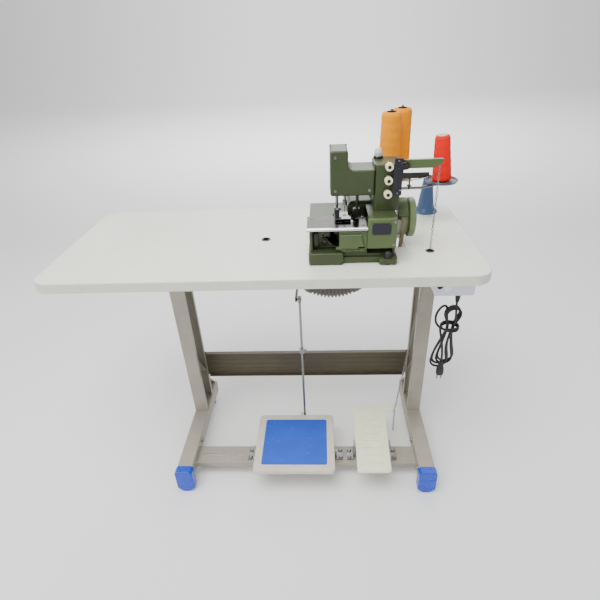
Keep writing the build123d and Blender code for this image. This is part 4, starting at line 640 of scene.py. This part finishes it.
class SergerCord(bpy.types.PropertyGroup):
    """Sizes of the mains lead and its hank."""
    diameter: FloatProperty(name="Diameter", description="Thickness of the lead", default=0.0066,
                            unit="LENGTH")
    layer_gap: FloatProperty(name="Layer gap", description="Distance between neighbouring turns of the hank",
                             default=0.0077, unit="LENGTH")
    turns: IntProperty(name="Turns", description="Long turns in the hank", default=4, min=2, max=5)
    tie_radius: FloatProperty(name="Tie radius", description="Radius of the turns that tie the hank",
                              default=0.0248, unit="LENGTH")


class SergerThread(bpy.types.PropertyGroup):
    """How the cones are wound."""
    ridges: IntProperty(name="Ridges", description="Crossing ridges round a cone", default=34, min=8, max=60)
    ridge_height: FloatProperty(name="Ridge height", description="Height of a wound ridge", default=0.00022,
                                unit="LENGTH")


class SergerStage(bpy.types.PropertyGroup):
    """Floor and light."""
    floor: FloatVectorProperty(name="Floor", description="Colour of the floor", subtype="COLOR", size=3,
                               default=(0.93, 0.93, 0.93))
    key_power: FloatProperty(name="Key light", description="Power of the main light", default=116.0,
                             unit="POWER")
    sky: FloatProperty(name="Surround", description="Brightness of the pale surround", default=0.62)


# ---------------------------------------------------------------- operators
class SERGER_OT_stage(bpy.types.Operator):
    """Camera, pale floor and soft studio light"""
    bl_idname = "serger.stage"
    bl_label = "Studio Stage"

    def execute(self, context):
        settings = context.scene.serger_stage
        camera = bpy.data.objects.new("camera", bpy.data.cameras.new("camera"))
        camera.data.sensor_width, camera.data.lens = 36.0, CAMERA_LENS
        camera.data.clip_start, camera.data.clip_end = 0.05, 60.0
        camera.matrix_world = (Matrix.Translation(CAMERA_AT) @ Matrix.Rotation(CAMERA_TURN, 4, "Z")
                               @ Matrix.Rotation(TURN / 4 - CAMERA_DIP, 4, "X")
                               @ Matrix.Rotation(CAMERA_LEAN, 4, "Z"))
        context.scene.collection.objects.link(camera)
        context.scene.camera = camera

        # The floor runs flat, then curves up behind: z = r (1 - cos t) past the flat part.
        bend, half, back, flat_rows = 4.0, 14.0, 9.0, 12
        arc = np.linspace(0, math.pi / 2, 24)[1:]
        run = np.concatenate([np.linspace(-half, back, flat_rows), back + bend * np.sin(arc)])
        lift = np.concatenate([np.zeros(flat_rows), bend * (1 - np.cos(arc))])
        across = np.linspace(-half, half, 9)
        points = np.stack(np.broadcast_arrays(across[None, :], run[:, None], lift[:, None]), -1)
        verts, quads, _ = woven(points, wrap_v=False)
        mesh = bpy.data.meshes.new("floor")
        mesh.from_pydata(verts.tolist(), [], quads.tolist())
        mesh.polygons.foreach_set("use_smooth", np.ones(len(mesh.polygons), bool))
        floor = bpy.data.objects.new("floor", mesh)
        context.scene.collection.objects.link(floor)
        material, _, shader = new_material("floor")
        shader.inputs["Base Color"].default_value = (*settings.floor, 1)
        shader.inputs["Roughness"].default_value = 0.9
        mesh.materials.append(material)

        world = bpy.data.worlds.new("surround")
        context.scene.world = world
        world.use_nodes = True
        world.node_tree.nodes["Background"].inputs["Color"].default_value = (0.98, 0.99, 1.0, 1)
        world.node_tree.nodes["Background"].inputs["Strength"].default_value = settings.sky
        key = settings.key_power
        for name, place, aim, size, power in (
                ("key", (-0.5, -0.9, 3.3), (0.1, 0, 0.4), 2.2, key),
                ("fill", (-1.8, -2.6, 1.7), (0.1, 0, 0.5), 1.6, key * 0.22),
                ("rear", (0.2, 3.2, 3.0), (0.1, 0.8, 0.0), 3.0, key * 0.8),
                ("backdrop", (0.0, 5.0, 4.5), (0.0, 10.0, 1.0), 5.0, key * 5)):
            light = bpy.data.objects.new(name, bpy.data.lights.new(name, "AREA"))
            light.data.size, light.data.energy = size, power
            light.location = place
            light.rotation_euler = (Vector(aim) - Vector(place)).to_track_quat("-Z", "Y").to_euler()
            context.scene.collection.objects.link(light)
        return {"FINISHED"}


def hank_route(gap, turns, tie):
    """Control points of the lead from the switch box through its hank, in metres.

    A long turn goes down its right side and up its left: its half width w at depth u * height is read
    from a table, so it is round at both ends and narrow where it is tied. Turn k lies in its own layer,
    y = first layer + k * gap, and changes layer over its top. The tie is a helix round all the layers,
    (x, y) = centre + tie (cos a, sin a), which sinks one gap a turn.
    """
    drawn_height = 205.0
    depth = np.array([2.9, 10.8, 21.5, 33.0, 46.0, 60.0, 74.0,
                      92.0, 119.0, 146.0, 168.0, 183.0, 194.5, 202.3]) / drawn_height
    width = np.array([11.0, 18.8, 21.8, 20.0, 14.3, 9.4, 7.6,
                      8.2, 11.6, 16.6, 21.2, 23.0, 19.9, 11.6]) * MM
    # The strands step aside by a part of the gap where a turn starts and ends.
    passing = gap * np.array([0.22, 0.06] + (len(depth) - 2) * [0.0])
    tops = np.array([17.0, 17.6, 17.0, 17.6, 17.0])[:turns] * MM
    heights = np.array([203.0, 197.0, 204.0, 199.0, 200.0])[:turns] * MM
    leans = np.array([-0.024, -0.019, -0.004, 0.001, -0.01])[:turns]
    first = -4.0 * MM
    points = [(0.003, 0.0006, -0.025), (0.003, 0.0006, -0.0165), (0.0022, -0.0008, -0.008),
              (0.0014, -0.0040, 0.003), (0.0018, -0.0072, 0.016), (0.0030, -0.0080, 0.030),
              (0.0044, -0.0070, 0.045), (0.0046, -0.0054, 0.060)]
    for k in range(turns):
        y = first + k * gap
        z = tops[k] + depth * heights[k]
        sway = np.clip((depth - 0.15) / 0.60, 0, 1)
        middle = (leans[k] - 0.003) * sway ** 2 * (3 - 2 * sway)
        skip = 6 if k == 0 else 0
        down = np.column_stack([middle + width, y - passing, z])[skip:]
        low = [(leans[k] - 0.003, y, tops[k] + heights[k])]
        rising = np.column_stack([middle - width, y + passing, z])[::-1]
        points += [*down.tolist(), *low]
        if k < turns - 1:
            points += rising.tolist() + [(0.0, y + gap / 2, (tops[k] + tops[k + 1]) / 2)]
        else:
            points += rising[:9].tolist()
    last = first + (turns - 1) * gap
    # The turn that stands out to one side before the tie: a half ellipse in x and z that comes forward.
    turn = np.linspace(0, math.pi, 8)
    points += np.column_stack([-0.0355 + 0.0205 * np.cos(turn), last - 0.0195 * (1 - np.cos(turn)),
                               0.032 - 0.0230 * np.sin(turn)]).tolist()
    points += [(-0.0548, -0.0205, 0.0465), (-0.0475, -0.0225, 0.0595), (-0.0360, -0.0235, 0.0690),
               (-0.0230, -0.0220, 0.0740)]
    centre_y = first + 1.5 * gap
    angle = np.radians(np.arange(255.0, 891.0, 30.0))
    sink = 0.0765 + gap * (angle - angle[0]) / TURN
    points += np.column_stack([-0.005 + tie * np.cos(angle), centre_y + tie * np.sin(angle), sink]).tolist()
    points += [(-0.0316, 0.0020, 0.0925), (-0.0320, -0.0090, 0.0975), (-0.0312, -0.0182, 0.1070),
               (-0.0290, -0.0240, 0.1215), (-0.0262, -0.0258, 0.1430), (-0.0240, -0.0262, 0.1680),
               (-0.0240, -0.0262, 0.1880)]
    points = np.array(points)
    return np.array(HANK_TOP) + points * (1, 1, -1)


class SERGER_OT_mains_lead(bpy.types.Operator):
    """Mains lead tied in a hank under the switch box, with its sleeve and two-pin plug"""
    bl_idname = "serger.mains_lead"
    bl_label = "Mains Lead"

    def execute(self, context):
        settings = context.scene.serger_cord
        route = hank_route(settings.layer_gap, settings.turns, settings.tie_radius)
        curve = bpy.data.curves.new("mains_lead", "CURVE")
        curve.dimensions = "3D"
        curve.resolution_u = 6
        curve.bevel_depth = settings.diameter / 2
        curve.bevel_resolution = 3
        curve.use_fill_caps = True
        spline = curve.splines.new("NURBS")
        spline.points.add(len(route) - 1)
        spline.points.foreach_set("co", np.column_stack([route, np.ones(len(route))]).ravel())
        spline.order_u = 3
        spline.use_endpoint_u = True
        lead = bpy.data.objects.new("mains_lead", curve)
        context.scene.collection.objects.link(lead)
        curve.materials.append(material_of("cord_rubber"))
        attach(lead, "stand")
        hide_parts("power_cord", "cord_hank")

        # Sleeve: a taper with raised rings, r = taper(h) + ring height where a ring stands.
        rise = np.linspace(0, 0.032, 65)
        taper = np.interp(rise, [0, 0.019, 0.032], [0.0046, 0.0068, 0.0088])
        rings = 0.0007 * (np.sin(rise / 0.0040 * TURN) > 0.1) * (rise > 0.002) * (rise < 0.026)
        profile = [(0, 0), *zip(taper + rings, rise), (0, 0.032)]
        piece("lead_sleeve", [facing(turned(profile, 40), (CORD_EXIT[0], CORD_EXIT[1], 0.632))],
              material_of("black_plastic"), "stand")

        # Plug body: superellipse rings whose half sizes change along its length, flat at the pins.
        end = route[-1]
        low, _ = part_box("plug")
        foot = low.z + 0.018
        tall = end[2] + 0.004 - foot
        along = np.array([0.0, 0.0, 0.06, 0.35, 0.55, 0.72, 0.86, 1.0, 1.0])
        wide = np.array([0.0, 9.6, 10.8, 10.8, 9.6, 7.4, 5.6, 4.9, 0.0]) * MM
        deep = np.array([0.0, 8.0, 9.2, 9.2, 8.0, 6.6, 5.4, 4.9, 0.0]) * MM
        angle = np.linspace(0, TURN, 48, endpoint=False)
        bow = [np.sign(wave) * np.abs(wave) ** 0.7 for wave in (np.cos(angle), np.sin(angle))]
        rows = np.stack([
            np.column_stack([end[0] + w * bow[0], end[1] + d * bow[1], np.full(len(angle), foot + a * tall)])
            for a, w, d in zip(along, wide, deep)])
        plug = piece("mains_plug", [woven(rows)], material_of("black_plastic"), "stand",
                     50)
        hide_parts("plug")
        pins = [facing(turned([(0, 0), (0.0014, 0), (0.0024, 0.0016), (0.0024, 0.019), (0, 0.019)], 20),
                       (end[0] + side * 0.006, end[1], foot - 0.0175)) for side in (-1, 1)]
        prongs = piece("plug_pins", pins, material_of("steel"), "stand")
        return {"FINISHED"}


class SERGER_OT_lift_chain(bpy.types.Operator):
    """Lift chain of separate links from the lever, through the table, to the pedal"""
    bl_idname = "serger.lift_chain"
    bl_label = "Lift Chain"

    def execute(self, context):
        settings = context.scene.serger_chain
        wire = settings.wire / 2
        long_half, wide_half = settings.link_length / 2 - wire, settings.link_width / 2 - wire
        pitch = 2 * (long_half - wire) + wire * 0.3
        # A link: the closed curve (a cos t, b sin t) with squared-off sides, and a round wire about it.
        t = np.linspace(0, TURN, 14, endpoint=False)
        ring = np.stack([long_half * np.sign(np.cos(t)) * np.abs(np.cos(t)) ** 0.8,
                         wide_half * np.sign(np.sin(t)) * np.abs(np.sin(t)) ** 0.8, 0 * t], -1)
        along = np.roll(ring, -1, 0) - np.roll(ring, 1, 0)
        along /= np.linalg.norm(along, axis=1, keepdims=True)
        out = np.stack([along[:, 1], -along[:, 0], 0 * t], -1)
        a = np.linspace(0, TURN, 6, endpoint=False)
        rows = ring[:, None, :] + wire * (np.cos(a)[None, :, None] * out[:, None, :]
                                          + np.sin(a)[None, :, None] * np.array([0, 0, 1.0]))
        template, quads, uvs = woven(rows, wrap_u=True)
        route = np.array(CHAIN_ROUTE)
        lengths = np.concatenate([[0], np.cumsum(np.linalg.norm(np.diff(route, axis=0), axis=1))])
        at = np.arange(settings.link_length / 2, lengths[-1] - settings.link_length / 2, pitch)
        centres = np.column_stack([np.interp(at, lengths, route[:, i]) for i in range(3)])
        along = np.gradient(centres, axis=0)
        along /= np.linalg.norm(along, axis=1, keepdims=True)
        across = np.cross(along, (0.0, 1.0, 0.0))
        across /= np.linalg.norm(across, axis=1, keepdims=True)
        third = np.cross(along, across)
        turn = (np.arange(len(at)) % 2) * math.pi / 2 + 0.5 + 0.16 * np.sin(np.arange(len(at)) * 0.7)
        side = np.cos(turn)[:, None] * across + np.sin(turn)[:, None] * third
        face = np.cross(along, side)
        axes = np.stack([along, side, face], 1)
        points = centres[:, None, :] + np.einsum("pi,kij->kpj", template, axes)
        count = len(template)
        all_quads = (quads[None] + count * np.arange(len(at))[:, None, None]).reshape(-1, 4)
        shape = points.reshape(-1, 3), all_quads, np.tile(uvs, (len(at), 1, 1))
        chain = piece("chain_links", [shape], material_of("steel"), "chain", 60)
        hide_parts("lift_chain")
        return {"FINISHED"}


def wound_cone(seat, size, ridges, height, lean=0.0):
    """Wound cone and its core tube.

    Radius r = cone(z) + height * the higher of two crossing waves, |sin(n a / 2 + m z)| and
    |sin(n a / 2 - m z)|, falling away over the rounded ends.
    """
    base, top, tall = size
    angle = np.linspace(0, TURN, 168, endpoint=False)[None, :]
    z = np.concatenate([np.linspace(0.0008, 0.008, 10), np.linspace(0.0095, tall - 0.009, 130),
                        np.linspace(tall - 0.0075, tall - 0.002, 12)])[:, None]
    cone = base + (top - base) * z / tall
    ends = np.interp(z[:, 0], [0, 0.006, tall - 0.009, tall - 0.002], [-0.0012, 0, 0, -0.0030])[:, None]
    climb = 210
    waves = np.maximum(np.abs(np.sin(ridges * angle / 2 + climb * z)),
                       np.abs(np.sin(ridges * angle / 2 - climb * z)))
    drift = 0.00025 * np.sin(z * 260) + 0.0002 * np.sin(3 * angle + 60 * z)
    radius = cone + ends + height * waves + drift
    points = np.stack([radius * np.cos(angle), radius * np.sin(angle), z + 0 * angle], -1)
    bottom = np.stack([0.015 * np.cos(angle), 0.015 * np.sin(angle), 0.0008 + 0 * angle], -1)
    lid = np.stack([0.0135 * np.cos(angle), 0.0135 * np.sin(angle), tall - 0.0016 + 0 * angle], -1)
    thread = woven(np.concatenate([bottom, points, lid]))
    bore = np.array([(0.0150, 0.0), (0.0158, 0.0), (0.0158, 0.003), (0.0136, tall - 0.003), (0.0134, tall),
                     (0.0122, tall), (0.0120, tall - 0.004), (0.0138, 0.004), (0.0150, 0.0)])
    core = turned(bore, 56)
    swing = np.array(Matrix.Rotation(-lean, 3, "Y"))
    edge = np.array([-(base + 0.0008), 0, 0]) if lean else np.zeros(3)
    return [((points - edge) @ swing.T + edge + np.array(seat), quads, uvs)
            for points, quads, uvs in (thread, core)]


class SERGER_OT_thread_cones(bpy.types.Operator):
    """Two orange cones and a red one with crossing wound thread on core tubes"""
    bl_idname = "serger.thread_cones"
    bl_label = "Thread Cones"

    def execute(self, context):
        settings = context.scene.serger_thread
        for number, seat in enumerate(ORANGE_SEATS):
            thread, core = wound_cone(seat, ORANGE_SIZE, settings.ridges, settings.ridge_height)
            piece(f"orange_winding_{number + 1}", [thread], material_of("orange_thread"), "stand",
                              80)
            piece(f"orange_core_{number + 1}", [core], material_of("black_plastic"), "stand")
        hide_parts("cones_orange")
        thread, core = wound_cone(RED_SEAT, RED_SIZE, settings.ridges, settings.ridge_height, RED_LEAN)
        red = piece("red_winding", [thread], material_of("red_thread"), "stand", 80)
        piece("red_core", [core], material_of("white_plastic"), "stand")
        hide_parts("cone_red")
        return {"FINISHED"}


class SERGER_OT_head_fittings(bpy.types.Operator):
    """Screws, tension studs, rivets and the fixed works inside the looper bay"""
    bl_idname = "serger.head_fittings"
    bl_label = "Head Fittings"

    def execute(self, context):
        steel, dark = material_of("steel"), material_of("dark_steel")
        screws = []
        cover_low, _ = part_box("head_covers")
        arm_low, arm_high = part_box("arm_housing")
        plate_low, plate_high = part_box("cloth_plate")
        needle_low, needle_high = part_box("needle_plate")
        column_low, column_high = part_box("column_casting")
        bed_low, bed_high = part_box("bed_casting")
        guide_low, guide_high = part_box("thread_guide_plate")
        name_low, name_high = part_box("name_plate")
        front, back, up = (0, -1, 0), (0, 1, 0), (0, 0, 1)
        sunk = plate_high.z - 0.0006
        for x, z, spin in ((arm_low.x + 0.013, arm_low.z + 0.014, 0.4),
                           (arm_high.x - 0.012, arm_low.z + 0.014, 1.9),
                           (arm_low.x + 0.013, arm_high.z - 0.016, 2.6)):
            screws += slotted_screw((x, arm_low.y, z), front, CASTING_SCREW, spin)
        for x, y, spin in ((plate_high.x - 0.009, plate_low.y + 0.022, 0.3),
                           (plate_high.x - 0.009, plate_high.y - 0.012, 1.2),
                           (plate_low.x + 0.012, plate_high.y - 0.012, 2.2)):
            screws += slotted_screw((x, y, sunk), up, COVER_SCREW, spin)
        for x in (needle_low.x + 0.006, needle_high.x - 0.006):
            screws += slotted_screw((x, needle_high.y - 0.010, sunk), up, NEEDLE_PLATE_SCREW, x * 90)
        for z, spin in ((bed_low.z + 0.036, 0.9), (bed_high.z - 0.016, 2.3)):
            screws += slotted_screw((name_high.x + 0.009, cover_low.y, z), front, COVER_SCREW, spin)
        for z in (guide_low.z + 0.006, guide_high.z - 0.006):
            middle = (guide_low.x + guide_high.x) / 2
            screws += slotted_screw((middle, guide_low.y, z), front, GUIDE_SCREW, z * 50)
        for x in (column_low.x + 0.012, column_high.x - 0.012):
            screws += slotted_screw((x, column_high.y - 0.018, column_high.z), up, CASTING_SCREW, x * 70)
        for x in (bed_low.x + 0.030, bed_low.x + 0.082):
            screws += slotted_screw((x, bed_high.y, bed_low.z + 0.050), back, CASTING_SCREW, x * 40)
        piece("head_screws", screws, steel, "stand")

        inset = 0.0024
        rivet = turned([(0, 0), (0.0011, 0), (0.0009, 0.0006), (0, 0.0008)], 16)
        rivets = [facing(rivet, (x, name_low.y, z), front)
                  for x in (name_low.x + inset, name_high.x - inset)
                  for z in (name_low.z + inset, name_high.z - inset)]
        piece("name_plate_rivets", rivets, steel, "stand")

        for number in (1, 2, 3):
            low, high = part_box(f"tension_knob_{number}")
            middle = ((low.x + high.x) / 2, low.y, (low.z + high.z) / 2)
            stud = turned([(0, -0.004), (0.0036, -0.004), (0.0036, 0.0004), (0.0028, 0.0014),
                           (0, 0.0017)], 28)
            ring = turned([(0.0036, -0.001), (0.0046, -0.001), (0.0046, 0.0003), (0.0036, 0.0003),
                           (0.0036, -0.001)], 28)
            piece(f"knob_stud_{number}", [facing(shape, middle, front) for shape in (stud, ring)],
                  material_of("black_plastic"), f"knob_{number}")

        # Fixed works behind the looper guard: crank boxes, rods and a bearing boss, all dark so that they
        # also stand in as painted shade in the looper bay.
        deep, shallow = bed_low.y + 0.050, bed_low.y + 0.011
        left, floor = bed_low.x, bed_low.z
        boss = turned([(0, 0), (0.013, 0), (0.014, 0.002), (0.014, 0.010), (0.007, 0.012), (0, 0.012)], 40)
        works = [soft_box((left + 0.016, deep, floor + 0.022), (left + 0.060, deep + 0.030, floor + 0.048),
                          0.25, 14),
                 facing(boss, (left + 0.078, deep - 0.004, floor + 0.058), front),
                 soft_box((left + 0.070, deep, floor + 0.020), (left + 0.084, deep + 0.020, floor + 0.070),
                          0.3, 12)]
        works += [tube(np.linspace((left + x, deep + 0.004, floor + 0.022),
                                   (left + x + lean, deep + 0.004, floor + 0.076), 6), 0.003, 12, (0, 1, 0))
                  for x, lean in ((0.026, 0.004), (0.050, -0.006))]
        # In front of the guard: a post, a boss with its cap, and an oil pipe along the floor of the bay.
        cap = turned([(0, 0), (0.0095, 0), (0.0095, 0.005), (0.006, 0.006), (0.005, 0.009), (0, 0.009)], 32)
        works += [soft_box((left + 0.011, shallow, floor + 0.020),
                           (left + 0.024, shallow + 0.010, floor + 0.064), 0.3, 12),
                  facing(cap, (left + 0.040, bed_low.y + 0.023, floor + 0.038), front),
                  tube(np.linspace((left + 0.012, shallow + 0.004, floor + 0.0225),
                                   (left + 0.070, shallow + 0.004, floor + 0.0225), 5), 0.0022, 12)]
        # Dark steel works: partly the real mechanism, partly painted shade over the lit guard in the bay.
        piece("looper_works", works, dark, "stand")

        # Thread release wire: a thin bent rod out of the column's right side, rising to its free end.
        reach = np.linspace(0, 1, 14)
        wire = np.column_stack([column_high.x - 0.001 + 0.066 * reach,
                                column_low.y + 0.004 - 0.0065 * np.sin(math.pi / 2 * reach),
                                column_high.z - 0.043 + 0.010 * reach ** 1.5])
        piece("release_wire", [tube(wire, 0.0011, 10)], steel, "stand")
        return {"FINISHED"}


class SERGER_OT_stand_bolts(bpy.types.Operator):
    """Socket bolts and washers over the stand's plain bolt heads"""
    bl_idname = "serger.stand_bolts"
    bl_label = "Stand Bolts"

    def execute(self, context):
        heads = []
        low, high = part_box("leg_columns")
        foot_low, foot_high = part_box("foot_beams")
        rail_low, rail_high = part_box("frame_struts")
        beam_low, beam_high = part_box("crossbeam")
        width = 0.045
        middle = (foot_low.z + foot_high.z) / 2 + 0.005
        for x, inward in ((low.x + width / 2, 1), (high.x - width / 2, -1)):
            for y in (-0.256, -0.142):
                heads += hex_bolt((x + inward * 0.0258, y, middle), (inward, 0, 0), STAND_BOLT, 0.3)
            for y in (rail_low.y + 0.025, high.y + 0.035, rail_high.y - 0.030):
                heads += hex_bolt((x, y, high.z - 0.0008), (0, 0, -1), STAND_BOLT, 0.2)
            for z in (beam_low.z + 0.030, beam_high.z - 0.030):
                heads += hex_bolt((x, beam_high.y + 0.0008, z), (0, 1, 0), STAND_BOLT, 0.5)
        bolts = piece("socket_bolts", heads, material_of("steel"), "stand")
        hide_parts("stand_bolts")
        return {"FINISHED"}


class SERGER_OT_finishes(bpy.types.Operator):
    """Gives every CAD node the finish of its material slot"""
    bl_idname = "serger.finishes"
    bl_label = "Finishes"

    def execute(self, context):
        for subpart in frame["record"]["subparts"]:
            node = frame["nodes"][subpart["node"]]
            material = material_of(subpart["material_slot"])
            for slot in node.material_slots:
                slot.material = material
        return {"FINISHED"}


class SERGER_PT_sidebar(bpy.types.Panel):
    """Lists the pieces and their settings"""
    bl_idname = "SERGER_PT_sidebar"
    bl_label = "Serger"
    bl_space_type = "VIEW_3D"
    bl_region_type = "UI"
    bl_category = "Serger"

    def draw(self, context):
        for operator in OPERATORS:
            self.layout.operator(operator.bl_idname)
        for holder in SETTINGS:
            group = getattr(context.scene, holder)
            box = self.layout.box()
            box.label(text=holder.replace("serger_", "").title())
            for key in type(group).__annotations__:
                box.prop(group, key)


SETTINGS = {"serger_colours": SergerColours, "serger_chain": SergerChain, "serger_cord": SergerCord,
            "serger_thread": SergerThread, "serger_stage": SergerStage}
OPERATORS = (SERGER_OT_stage, SERGER_OT_mains_lead, SERGER_OT_lift_chain, SERGER_OT_finishes,
             SERGER_OT_thread_cones, SERGER_OT_head_fittings, SERGER_OT_stand_bolts)
CLASSES = (*SETTINGS.values(), *OPERATORS, SERGER_PT_sidebar)


def register():
    """Registers the classes and puts the settings on the scene."""
    for cls in CLASSES:
        bpy.utils.register_class(cls)
    for holder, cls in SETTINGS.items():
        setattr(bpy.types.Scene, holder, PointerProperty(type=cls))


def unregister():
    """Takes the settings and classes away again."""
    for holder in SETTINGS:
        delattr(bpy.types.Scene, holder)
    for cls in reversed(CLASSES):
        bpy.utils.unregister_class(cls)


def main():
    """Makes every piece in order."""
    register()
    bpy.ops.serger.stage()
    bpy.ops.serger.mains_lead()
    bpy.ops.serger.lift_chain()
    bpy.ops.serger.finishes()
    bpy.ops.serger.thread_cones()
    bpy.ops.serger.head_fittings()
    bpy.ops.serger.stand_bolts()


if __name__ == "__main__":
    main()
